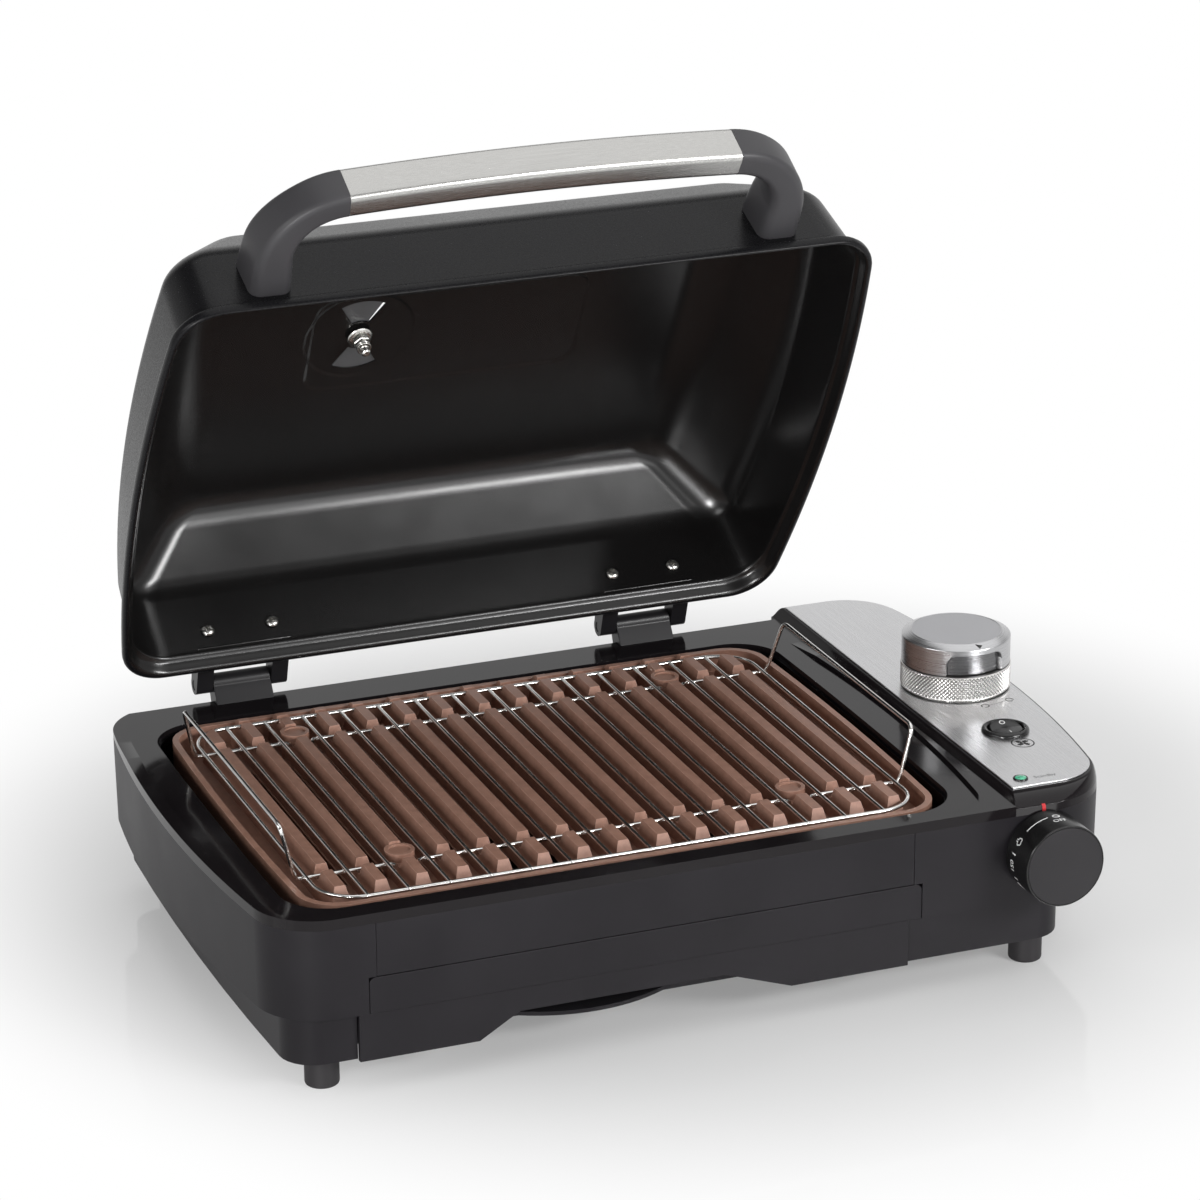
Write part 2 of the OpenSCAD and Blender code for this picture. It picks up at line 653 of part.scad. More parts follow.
module wire_rack() {
    curl = 3;
    end_in = 8.5;
    xc = rack_hw - rack_r;
    color("#c4c6c8") place() {
        for (i = [0:rib_n - 2]) rod_y((rib_x(i) + rib_x(i + 1)) / 2, rack_y0, rack_y1, rack_z);
        for (s = [-1, 1]) rod_y(grill_x + s * rack_hw, rack_y0 + rack_r, rack_y1 - rack_r, rack_z);
        for (y = [rack_y0, rack_y1]) rod_x(grill_x - xc, grill_x + xc, y, rack_z);
        turn_wire(grill_x - xc, rack_y0 + rack_r, rack_z, rack_r, 180);
        turn_wire(grill_x + xc, rack_y0 + rack_r, rack_z, rack_r, 270);
        turn_wire(grill_x + xc, rack_y1 - rack_r, rack_z, rack_r, 0);
        turn_wire(grill_x - xc, rack_y1 - rack_r, rack_z, rack_r, 90);
        for (y = notch_y) {
            rod_x(grill_x - stub_hw, boss_x[0] - end_in, y, cross_z);
            rod_x(boss_x[0] + end_in, boss_x[1] - end_in, y, cross_z);
            rod_x(boss_x[1] + end_in, grill_x + stub_hw, y, cross_z);
            for (x = boss_x) {
                turn_wire(x - end_in, y - curl, cross_z, curl, 0);
                turn_wire(x + end_in, y - curl, cross_z, curl, 90);
            }
        }
    }
}
// wire swept through a list of points
function unit(v) = v / norm(v);
function tangent(p, i) = unit(p[min(i + 1, len(p) - 1)] - p[max(i - 1, 0)]);
function side_dir(p, i) =
    i == 0 ? [0, 0, 1] : let (n = side_dir(p, i - 1), t = tangent(p, i)) unit(n - (n * t) * t);
module wire_path(p) {
    n = wire_fn;
    m = len(p);
    pts = [for (i = [0:m - 1]) let (t = tangent(p, i), a = side_dir(p, i), b = cross(t, a))
           for (k = [0:n - 1]) p[i] + wire_d / 2 * (a * cos(360 * k / n) + b * sin(360 * k / n))];
    sides = [for (i = [0:m - 2], k = [0:n - 1])
             [i * n + k, (i + 1) * n + k, (i + 1) * n + (k + 1) % n, i * n + (k + 1) % n]];
    polyhedron(pts, concat(sides, [[for (k = [0:n - 1]) k]],
                           [[for (k = [n - 1:-1:0]) (m - 1) * n + k]]));
}
module rack_handles() {
    top = cross_z + rack_handle_h + 2.4;
    in = 5;
    lean = 6;
    x0 = grill_x + stub_hw;
    x1 = grill_x + loop_hw;
    x2 = grill_x + loop_top_hw;
    color("#c4c6c8") place() both() wire_path([
        [x0, notch_y[0], cross_z], [x0 + 0.5, notch_y[0], cross_z],
        [x1 - 1.2, notch_y[0], cross_z + 0.3],
        [x1, notch_y[0], cross_z + 1.8], [x2 - 0.4, notch_y[0], top - in],
        [x2, notch_y[0] + in * 0.3, top - in * 0.3], [x2, notch_y[0] + in, top],
        [x2, notch_y[1] - lean - in, top], [x2, notch_y[1] - lean - in * 0.3, top - in * 0.3],
        [x2 - 0.4, notch_y[1] - lean, top - in], [x1, notch_y[1], cross_z + 1.8],
        [x1 - 1.2, notch_y[1], cross_z + 0.3], [x0 + 0.5, notch_y[1], cross_z],
        [x0, notch_y[1], cross_z]]);
}

// ---------- drip tray ----------
module drip_tray() {
    hw = tray_w / 2;
    color("#34363a") place() difference() {
        union() {
            slab(pad(tray_x, hw, tray_y0, tray_y1, 14, 0.5), tray_z, tray_z + tray_h);
            slab(pad(tray_x, hw + 1.5, tray_y0, tray_y1 + 3, 15, 0.5), tray_z + tray_h - tray_t,
                 tray_z + tray_h);
        }
        slab(pad(tray_x, hw - tray_t, tray_y0 + tray_t, tray_y1 - tray_t, 14 - tray_t, 0.5),
             tray_z + tray_t, tray_z + tray_h + 1);
    }
}
module drip_tray_front() {
    arch_z = foot_h + arch_h;
    rim_r = 3;
    shelf = 2;
    color("#2c2d30") place() {
        difference() {
            block(face_x0, face_x1, 0.8, face_t + 0.8, face_z, z_step);
            translate([0, -5, 0]) rotate([90, 0, 0]) translate([0, 0, -15]) linear_extrude(15)
                polygon([[arch_x - arch_w / 2 - arch_slope_l, face_z - 1],
                         [arch_x - arch_w / 2 - arch_slope_l + 2.4, face_z],
                         [arch_x - arch_w / 2 - 2, arch_z - 1], [arch_x - arch_w / 2, arch_z],
                         [arch_x + arch_w / 2, arch_z], [arch_x + arch_w / 2 + arch_slope_r - 3, face_z],
                         [arch_x + arch_w / 2 + arch_slope_r, face_z - 1]]);
        }
        translate([0, face_t, 0]) rotate([90, 0, 0]) linear_extrude(face_t)
            polygon(concat([[strip_x0, z_step], [strip_x1, z_step]],
                arc(strip_x1 - rim_r, z_strip - rim_r, rim_r, 0, 90, 5),
                arc(strip_x0 + rim_r, z_strip - rim_r, rim_r, 90, 180, 5)));
        for (x = [tray_x - tray_w / 2 + 16, tray_x - tray_w / 6, tray_x + tray_w / 6, tray_x + tray_w / 2 - 19])
            block(x, x + 3, face_t, tray_y0, z_step - 8, basin_z - 1);
        block(tray_x - tray_w / 2 + 16, tray_x + tray_w / 2 - 16, face_t, tray_y0, z_step - 4,
              z_step - 4 + shelf);
    }
}

// ---------- lid ----------
module lid_row(r, t) {
    translate([0, 0, lid_z + r[0]]) linear_extrude(eps)
        polygon(pad(grill_x, r[1] - t, lid_y0 + r[2] + t, lid_y1 - r[3] - t, r[4] - t, r[5]));
}
module lid_solid() { hull() for (r = lid_rows) translate([0, 0, -eps]) lid_row(r, 0); }
module lid_cavity() {
    hull() {
        translate([0, 0, -lip_h - 1]) lid_row(wall_low, lid_t);
        for (r = lid_rows) translate([0, 0, r[0] > lip_h ? -lid_t : 0]) lid_row(r, lid_t);
    }
}
module vent_sectors(z0, z1, turn) {
    for (a = [90, 270])
        translate([vent_x, vent_y, z0]) rotate([0, 0, a + turn]) linear_extrude(z1 - z0)
            polygon(concat(arc(0, 0, vent_out, -vent_half, vent_half, 8),
                           arc(0, 0, vent_in, vent_half, -vent_half, 4)));
}
module panel_pad(z0, z1, d) {
    translate([0, 0, z0]) linear_extrude(z1 - z0)
        polygon(concat(arc(panel_x1 - 10, panel_y0 + 10, 10 - d, -90, 0, 5),
                       arc(panel_x1 - 10, panel_y1 - 10, 10 - d, 0, 90, 5),
                       arc(panel_x0 + 10, panel_y1 - 10, 10 - d, 90, 180, 5),
                       arc(panel_x0 + 10, panel_y0 + 10, 10 - d, 180, 270, 5)));
}
module lid_shell() {
    top = lid_z + lid_h;
    color("#17181a") lid_place() difference() {
        union() {
            lid_solid();
            slab(pad(grill_x, lid_hw, lid_y0, lid_y1, lid_r, lid_bow), lid_z, lid_z + lip_h);
            panel_pad(top - 1, top + emboss, 0);
            pin_z(vent_x, vent_y, top - 1, top + emboss, vent_r + 1);
        }
        lid_cavity();
        panel_pad(top - lid_t - 1, top - lid_t + emboss, 1.2);
        vent_sectors(top - lid_t - 2, top + 2, 0);
        pin_z(vent_x, vent_y, top - lid_t - 2, top + 2, stud_d / 2 + fit);
        for (s = [-1, 1], x = screw_x)
            pin_y(grill_x + s * x, lid_y1 - 20, lid_y1 - 2, lid_z + screw_h, 1.8 + fit);
        for (s = [-1, 1], h = bracket_screw_h)
            pin_y(grill_x + s * bracket_x, lid_y0 - 1, lid_y0 + 20, lid_z + h, 2 + fit);
    }
}
function round_rect(w, h, r) =
    concat(arc(w / 2 - r, -h / 2 + r, r, -90, 0, 5), arc(w / 2 - r, h / 2 - r, r, 0, 90, 5),
           arc(-w / 2 + r, h / 2 - r, r, 90, 180, 5), arc(-w / 2 + r, -h / 2 + r, r, 180, 270, 5));
// piece of the arched grip, measured from its middle
module grip_sweep(section, angle) {
    translate([grill_x, grip_y - grip_arch + grip_big, grip_z]) rotate([0, 0, -90 - angle])
        rotate_extrude(angle = 2 * angle, $fn = 480) translate([grip_big, 0]) polygon(section);
}
module handle_bar() {
    color("#c2c4c6") lid_place() difference() {
        grip_sweep(round_rect(grip_t, grip_h, 4.5), grip_tilt);
        grip_sweep(round_rect(grip_t - 2 * grip_wall, grip_h - 2 * grip_wall, 4.5 - grip_wall), grip_tilt + 0.5);
    }
}
module leg_section(x, y, z, w, h, r) {
    translate([x, y, z]) rotate([90, 0, 0]) linear_extrude(eps) polygon(round_rect(w, h, r));
}
module bracket() {
    x0 = grip_len / 2;
    y0 = grip_y + bracket_r * cos(grip_tilt);
    play = 0.08;
    widen = 4;
    neck_y = y0 + 8;
    spigot_t = grip_t - 2 * grip_wall - 2 * play;
    spigot_h = grip_h - 2 * grip_wall - 2 * play;
    difference() {
        union() {
            translate([bracket_leg_x - bracket_r, y0, grip_z]) rotate([0, 0, grip_tilt - 90])
                rotate_extrude(angle = 90 - grip_tilt, $fn = 64)
                    translate([bracket_r, 0]) polygon(round_rect(grip_t, grip_h, 4.5));
            hull() {
                leg_section(bracket_leg_x, y0 + eps, grip_z, grip_t, grip_h, 4.5);
                leg_section(bracket_leg_x - widen / 2, neck_y, grip_z, grip_t + widen, grip_h + 1, 5);
            }
            hull() {
                leg_section(bracket_leg_x - widen / 2, neck_y, grip_z, grip_t + widen, grip_h + 1, 5);
                leg_section(bracket_x, lid_y0 + 12, lid_z + bracket_base_z, bracket_base_w,
                            bracket_base_h, 8.5);
            }
            translate([x0, grip_y, grip_z]) rotate([0, 0, grip_tilt]) translate([-spigot_l, 0, 0])
                rotate([90, 0, 90]) linear_extrude(spigot_l + 1) polygon(round_rect(spigot_t, spigot_h, 2.8));
        }
        translate([-grill_x, 0, 0]) lid_solid();
        for (h = bracket_screw_h)
            pin_y(bracket_x, lid_y0 - 8, lid_y0 + 20, lid_z + h, 2 + fit);
    }
}
module right_bracket() { color("#1d1e20") lid_place() translate([grill_x, 0, 0]) bracket(); }
module left_bracket() {
    color("#1d1e20") lid_place() translate([grill_x, 0, 0]) mirror([1, 0, 0]) bracket();
}
// inner face of the lid's front or rear wall at height h
function front_in(h) = lid_y0 + mix(wall_low, wall_top, (h - lip_h) / (fold_h - lip_h))[2] + lid_t;
function rear_in(h) = lid_y1 - mix(wall_low, wall_top, (h - lip_h) / (fold_h - lip_h))[3] - lid_t;
module handle_screws() {
    color("#b9bcc0") lid_place() for (s = [-1, 1], h = bracket_screw_h) {
        x = grill_x + s * bracket_x;
        pin_y(x, lid_y0 - 7, front_in(h) + 1.2, lid_z + h, 2);
        pin_y(x, front_in(h) + 0.9, front_in(h) + 2.9, lid_z + h, 4);
    }
}
module hinge_leaves() {
    foot = leaf_t + 8;
    arm = [[lid_y1 - 6, lid_z + 8.5], [hinge_y, hinge_z - barrel_r], [hinge_y, hinge_z + barrel_r],
           [lid_y1 - 6, lid_z + 21]];
    color("#1d1e20") lid_place() both() difference() {
        union() {
            block(grill_x + leaf_x0, grill_x + leaf_x1, lid_y1 - 6 - foot + leaf_t, lid_y1 - 6 + leaf_t,
                  lid_z + 8, lid_z + 30);
            for (x = [leaf_x0, leaf_x1 - knuckle_w]) {
                translate([grill_x + x, 0, 0]) rotate([90, 0, 90]) linear_extrude(knuckle_w) polygon(arm);
                pin_x(grill_x + x, grill_x + x + knuckle_w, hinge_y, hinge_z, barrel_r);
            }
        }
        lid_solid();
        pin_x(grill_x + leaf_x0 - 1, grill_x + leaf_x1 + 1, hinge_y, hinge_z, pin_d / 2 + fit);
        for (x = screw_x)
            pin_y(grill_x + x, lid_y1 - 20, lid_y1 - 6 + leaf_t - 0.8, lid_z + screw_h, 1.8 + fit);
    }
}
module hinge_screws() {
    color("#c6c8ca") lid_place() for (s = [-1, 1], x = screw_x) {
        pin_y(grill_x + s * x, rear_in(screw_h) - 0.4, lid_y1 - 6 + leaf_t - 1, lid_z + screw_h, 1.8);
        pin_y(grill_x + s * x, rear_in(screw_h) - 2.2, rear_in(screw_h) - 0.4, lid_z + screw_h, 3.4);
    }
}
module hinge_arms() {
    color("#1d1e20") place() both() difference() {
        union() {
            translate([grill_x + arm_x0, 0, 0]) rotate([90, 0, 90]) linear_extrude(arm_x1 - arm_x0)
                polygon([[body_d - 11, z_ledge], [rim_y1, z_ledge], [body_d, z_house],
                         [body_d + 3.6, hinge_z - 1.5], [hinge_y, hinge_z],
                         [hinge_y - barrel_r, hinge_z]]);
            pin_x(grill_x + arm_x0, grill_x + arm_x1, hinge_y, hinge_z, barrel_r);
        }
        pin_x(grill_x + arm_x0 - 1, grill_x + arm_x1 + 1, hinge_y, hinge_z, pin_d / 2 + fit);
    }
}
module hinge_pins() {
    color("#a9acb0") place() both()
        pin_x(grill_x + leaf_x0 + 0.3, grill_x + leaf_x1 - 0.3, hinge_y, hinge_z, pin_d / 2);
}
module vent_dial() {
    z0 = lid_z + lid_h + emboss + gap;
    color("#1d1e20") lid_place() difference() {
        union() {
            pin_z(vent_x, vent_y, z0, z0 + dial_t, vent_r);
            translate([vent_x - 2, vent_y - vent_r + 3, z0 + dial_t - eps])
                cube([4, 2 * vent_r - 6, 3]);
        }
        vent_sectors(z0 - 1, z0 + dial_t + 5, dial_turn);
        pin_z(vent_x, vent_y, z0 - 1, z0 + dial_t + 6, stud_d / 2 + fit);
    }
}
module vent_stud() {
    z1 = lid_z + lid_h + emboss + gap + dial_t + 3;
    color("#c6c8ca") lid_place() {
        pin_z(vent_x, vent_y, lid_z + lid_h - lid_t - 12, z1, stud_d / 2);
        pin_z(vent_x, vent_y, z1, z1 + 1.8, 4);
        pin_z(vent_x, vent_y, lid_z + lid_h - lid_t - 11.5, lid_z + lid_h - lid_t - 8.5, 3.6);
    }
}
module vent_spring() {
    turn_d = 1.2;
    color("#c6c8ca") lid_place() for (i = [0:4])
        translate([vent_x, vent_y, lid_z + lid_h - lid_t - 2.4 - turn_d * i])
            rotate_extrude($fn = 32) translate([stud_d / 2 + turn_d / 2 + 0.2, 0])
                circle(d = turn_d, $fn = 14);
}
module vent_washer() {
    z0 = lid_z + lid_h - lid_t - 1.7;
    color("#b4b6b9") lid_place() difference() {
        pin_z(vent_x, vent_y, z0, z0 + 1.2, 6);
        pin_z(vent_x, vent_y, z0 - 1, z0 + 3, stud_d / 2 + fit);
    }
}

// ---------- console pieces ----------
module smoker_well() {
    color("#a9acb0") place() difference() {
        union() {
            pin_z(cup_x, cup_y, well_z, z_sheet, well_r);
            pin_z(cup_x, cup_y, z_sheet, z_sheet + 0.5, cup_r - 1.5);
        }
        pin_z(cup_x, cup_y, well_z + well_t, z_sheet + 2, well_r - well_t);
    }
}
module smoker_cup() {
    color("#cfd1d3") place() difference() {
        union() {
            pin_z(cup_x, cup_y, ring_z, ring_z + ring_h, cup_r);
            pin_z(cup_x, cup_y, well_z + well_t + gap, ring_z + 1, bowl_r);
        }
        pin_z(cup_x, cup_y, well_z + well_t + gap + bowl_t, ring_z + ring_h + 1, bowl_r - bowl_t);
    }
}
module chip_screen() {
    z = well_z + well_t + gap + bowl_t + 6;
    hole = 2.4;
    pitch = 6;
    color("#9a9c9f") place() difference() {
        union() {
            pin_z(cup_x, cup_y, z, z + 0.8, bowl_r - bowl_t - fit);
            for (a = [0, 120, 240])
                pin_z(cup_x + 14 * cos(a), cup_y + 14 * sin(a), z - 6, z + 0.4, 1.2);
        }
        for (i = [-2:2], j = [-2:2])
            if (i * i + j * j < 7) pin_z(cup_x + i * pitch, cup_y + j * pitch, z - 1, z + 2, hole / 2);
    }
}
module smoker_cap() {
    plug_r = bowl_r - bowl_t - fit;
    bevel = 3;
    core_r = cup_r - 2;
    z1 = cap_z + cap_h;
    color("#d4d6d8") place() translate([cup_x, cup_y, 0]) difference() {
        union() {
            pin_z(0, 0, cap_z, z1 - bevel, cup_r - 0.4);
            translate([0, 0, z1 - bevel])
                cylinder(r1 = cup_r - 0.4, r2 = cup_r - 0.4 - 4.6, h = bevel, $fn = fine);
            pin_z(0, 0, cap_z - 5, cap_z + 1, plug_r);
        }
        difference() {
            translate([0, 0, cap_z - 0.1]) rotate([90, 0, 0]) linear_extrude(cup_r + 2)
                polygon(concat([[-core_r * sin(notch_half), -1], [core_r * sin(notch_half), -1]],
                    arc(core_r * sin(notch_half) - 5, notch_rise - 5, 5, 0, 90, 5),
                    arc(-core_r * sin(notch_half) + 5, notch_rise - 5, 5, 90, 180, 5)));
            pin_z(0, 0, cap_z - 2, z1, core_r);
        }
        pin_z(0, 0, cap_z - 6, z1 - 2.5, plug_r - 1.5);
    }
}
module rocker_bezel() {
    low = z_deck - 8;
    color("#161618") place() translate([rocker_x, rocker_y, 0]) difference() {
        union() {
            pin_z(0, 0, z_sheet, z_sheet + 1.2, bezel_d / 2);
            translate([0, 0, z_sheet + 1.2])
                cylinder(r1 = bezel_d / 2, r2 = bezel_d / 2 - 1.2, h = 0.9, $fn = fine);
            pin_z(0, 0, low, z_sheet + 1, bezel_d / 2 - 1.3);
        }
        block(-rocker_w / 2 - gap, rocker_w / 2 + gap, -rocker_l / 2 - 0.8, rocker_l / 2 + 0.8, low + 1.5,
              z_sheet + 4);
        pin_x(-rocker_w / 2 - 2, rocker_w / 2 + 2, 0, rocker_z, 1.5 + fit);
    }
}
module rocker() {
    color("#0f0f10") place() translate([rocker_x, rocker_y, rocker_z]) rotate([rocker_tilt, 0, 0]) {
        rotate([90, 0, 90]) translate([0, 0, -rocker_w / 2]) linear_extrude(rocker_w)
            polygon([[-rocker_l / 2 + 0.4, -0.5], [-3, -3], [3, -3], [rocker_l / 2 - 0.4, -0.5],
                     [rocker_l / 2 - 0.2, 5.6], [0, 4.6], [-rocker_l / 2 + 0.2, 5.6]]);
        pin_x(-rocker_w / 2 - 1.6, rocker_w / 2 + 1.6, 0, 0, 1.5);
    }
}
module indicator_lens() {
    color("#1d8a4e") place() translate([lens_x, lens_y, 0]) {
        pin_z(0, 0, z_sheet, z_sheet + 0.6, lens_d / 2);
        translate([0, 0, z_sheet + 0.6]) cylinder(r1 = lens_d / 2, r2 = lens_d / 2 - 1.2, h = 0.6, $fn = fine);
        pin_z(0, 0, z_deck - 6, z_sheet + 0.1, lens_d / 2 - 0.5 - fit);
    }
}
module thermostat() {
    color("#b8b2a4") place() difference() {
        union() {
            block(knob_x - thermo_size[0] / 2, knob_x + thermo_size[0] / 2, thermo_y0,
                  thermo_y0 + thermo_size[1], knob_z - thermo_size[2] / 2, knob_z + thermo_size[2] / 2);
            pin_y(knob_x, 1, thermo_y0 + 1, knob_z, bushing_d / 2);
        }
        pin_y(knob_x, 0, thermo_y0 + 7, knob_z, shaft_r + fit);
    }
}
module thermostat_shaft() {
    color("#a9acb0") place() pin_y(knob_x, knob_y0 + 6, thermo_y0 + 6, knob_z, shaft_r);
}
module thermostat_knob() {
    color("#141415") place() difference() {
        union() {
            difference() {
                pin_y(knob_x, knob_y0, knob_y1, knob_z, knob_d / 2);
                pin_y(knob_x, knob_y0 + knob_wall, knob_y1 + 1, knob_z, knob_d / 2 - knob_wall);
            }
            pin_y(knob_x, knob_y0 + 1, knob_y1, knob_z, 6);
        }
        pin_y(knob_x, knob_y0 + 5.5, knob_y1 + 1, knob_z, shaft_r + fit);
    }
}
module fan_shroud() {
    color("#222326") place() difference() {
        union() {
            difference() {
                translate([fan_x, fan_y0, fan_z]) translate([-fan_sq / 2, 0, -fan_sq / 2])
                    cube([fan_sq, fan_y1 - fan_y0, fan_sq]);
                pin_y(fan_x, fan_y0 - 1, fan_y1 + 1, fan_z, duct_r);
            }
            for (a = [0, 60, 120])
                translate([fan_x, fan_y0, fan_z]) rotate([0, a, 0]) translate([-duct_r - 0.5, -1.5, -1.5])
                    cube([2 * duct_r + 1, 1.5, 3]);
            for (x = [fan_x - fan_sq / 2 + 4, fan_x + 12], s = [-1, 1])
                pin_y(x, fan_y1 - 1, body_d - wall_t - gap, fan_z + s * (fan_sq / 2 - 4), 2.5);
        }
        pin_y(fan_x, fan_y0 - 3, fan_y0 + 1, fan_z, fan_shaft_r + 1);
    }
}
module fan_motor() {
    color("#8d8f92") place() difference() {
        pin_y(fan_x, fan_y0 - 1.5 - motor_l, fan_y0 - 1.5, fan_z, motor_r);
        pin_y(fan_x, fan_y0 - motor_l + 2, fan_y0, fan_z, fan_shaft_r + fit);
    }
}
module fan_impeller() {
    color("#2b2c2f") place() {
        pin_y(fan_x, fan_y0 - motor_l + 3, fan_y0 + 3, fan_z, fan_shaft_r);
        pin_y(fan_x, fan_y0 + 1.5, fan_y1 - 1, fan_z, hub_r);
        for (i = [0:blade_n - 1])
            translate([fan_x, (fan_y0 + fan_y1) / 2, fan_z]) rotate([0, i * 360 / blade_n, 0])
                translate([hub_r - 0.8, 0, 0]) rotate([38, 0, 0])
                    translate([0, -4, -0.6]) cube([fan_r - hub_r, 8, 1.2]);
    }
}
module cord_gland() {
    color("#161618") place() difference() {
        union() {
            pin_y(gland_x, body_d - 5, body_d, gland_z, 4.5);
            pin_y(gland_x, body_d, body_d + 2.5, gland_z, 7);
        }
        pin_y(gland_x, body_d - 6, body_d + 4, gland_z, 3.2);
    }
}

base_pan();
feet();
base_screws();
housing();
front_panel();
top_frame();
pointer_mark();
console_plate();
basin_liner();
heating_element();
element_cradles();
terminal_blocks();
grill_plate();
wire_rack();
rack_handles();
drip_tray();
drip_tray_front();
lid_shell();
handle_bar();
left_bracket();
right_bracket();
handle_screws();
hinge_leaves();
hinge_screws();
hinge_arms();
hinge_pins();
vent_dial();
vent_stud();
vent_spring();
vent_washer();
smoker_well();
smoker_cup();
chip_screen();
smoker_cap();
rocker_bezel();
rocker();
indicator_lens();
thermostat();
thermostat_shaft();
thermostat_knob();
fan_shroud();
fan_motor();
fan_impeller();
cord_gland();
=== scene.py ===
"""Looks of the electric indoor grill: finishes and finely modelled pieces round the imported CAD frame.

Lengths are millimetres in the part's own frame; those of the stage, lamps and camera are metres.
"front" distances run from the front face of the body to the back, as on a drawing of the part.
"""
import json
import math

import bmesh
import bpy
from mathutils import Matrix, Vector


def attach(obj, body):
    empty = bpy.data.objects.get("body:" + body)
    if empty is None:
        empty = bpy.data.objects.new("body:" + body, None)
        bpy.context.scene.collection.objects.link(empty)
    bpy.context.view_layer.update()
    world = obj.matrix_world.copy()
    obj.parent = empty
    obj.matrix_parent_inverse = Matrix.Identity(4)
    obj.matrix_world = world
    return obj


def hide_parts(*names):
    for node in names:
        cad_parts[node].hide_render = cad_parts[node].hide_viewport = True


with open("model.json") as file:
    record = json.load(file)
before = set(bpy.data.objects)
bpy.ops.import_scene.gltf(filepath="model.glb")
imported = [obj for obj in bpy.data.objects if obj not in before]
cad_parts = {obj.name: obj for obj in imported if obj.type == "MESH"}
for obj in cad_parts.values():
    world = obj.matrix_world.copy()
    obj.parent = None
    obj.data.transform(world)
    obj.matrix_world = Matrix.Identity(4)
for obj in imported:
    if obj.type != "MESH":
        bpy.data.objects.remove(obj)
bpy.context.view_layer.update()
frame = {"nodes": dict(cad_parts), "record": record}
nodes = frame["nodes"]
BODY_OF = {n: b for b, group in frame["record"]["behaviour"]["bodies"].items() for n in group}

MM = 0.001
FRONT = -147.408      # where the front face of the body lies on the part's Y axis
GRILL_X = -30.9       # middle of the grill across the body
BODY_HALF, BODY_DEPTH = 218.5, 280.0
CORNER_RIGHT, CORNER_LEFT, CORNER_REAR, BOW_RIGHT, BOW_LEFT = 38.0, 31.0, 30.0, 16.0, 12.0
Z_STEP, Z_STRIP, Z_HOUSE, Z_LEDGE, Z_RIM, Z_DECK, Z_SHEET = 39.9, 57.4, 83.5, 86.7, 88.5, 91.7, 92.5
BASIN_HALF, BASIN_FRONT, BASIN_REAR, BASIN_R = 165.0, 15.0, 252.0, 24.0
CONSOLE_X, FRAME_RIGHT = 154.8, 152.4
KNOB_X, KNOB_Z, KNOB_BACK, KNOB_R = 167.1, 65.0, -1.2, 20.1
CUP_X, CUP_FRONT, CUP_HOLE = 190.8, 144.5, 23.0
ROCKER_X, ROCKER_FRONT, ROCKER_HOLE = 185.7, 78.4, 10.4
LENS_X, LENS_FRONT, LENS_HOLE = 165.3, 21.6, 3.0
RING_R, RING_LOW, RING_TOP = 27.3, 93.3, 105.5
CAP_R, CAP_LOW, CAP_TOP = 26.9, 105.8, 121.5


# ---------------------------------------------------------------- materials
class Graph:
    """Short calls that build a tree of shader nodes."""

    def __init__(self, tree):
        self.tree = tree

    def add(self, kind, **settings):
        node = self.tree.nodes.new(kind)
        for key, value in settings.items():
            setattr(node, key, value)
        return node

    def link(self, a, b):
        self.tree.links.new(a, b)

    def feed(self, socket, value):
        """Sets a socket to a number or a colour, or links an output to it."""
        if isinstance(value, (int, float)):
            socket.default_value = value
        elif isinstance(value, tuple):
            socket.default_value = value + (1.0,)
        else:
            self.link(value, socket)

    def span(self, value, low, high, out_low=0.0, out_high=1.0):
        """Smooth step from out_low, where the value is low, to out_high, where it is high."""
        node = self.add("ShaderNodeMapRange", interpolation_type="SMOOTHSTEP")
        for socket, number in zip(("From Min", "From Max", "To Min", "To Max"),
                                  (low, high, out_low, out_high)):
            node.inputs[socket].default_value = number
        self.link(value, node.inputs["Value"])
        return node.outputs["Result"]

    def calc(self, a, b, how="ADD"):
        node = self.add("ShaderNodeMath", operation=how)
        self.feed(node.inputs[0], a)
        self.feed(node.inputs[1], b)
        return node.outputs[0]

    def vector_value(self, how, *values):
        node = self.add("ShaderNodeVectorMath", operation=how)
        for socket, value in zip(node.inputs, values):
            self.link(value, socket)
        return node.outputs["Value"]

    def split(self, vector):
        node = self.add("ShaderNodeSeparateXYZ")
        self.link(vector, node.inputs[0])
        return node.outputs

    def joined(self, x, y):
        node = self.add("ShaderNodeCombineXYZ")
        self.link(x, node.inputs["X"])
        self.link(y, node.inputs["Y"])
        return node.outputs[0]


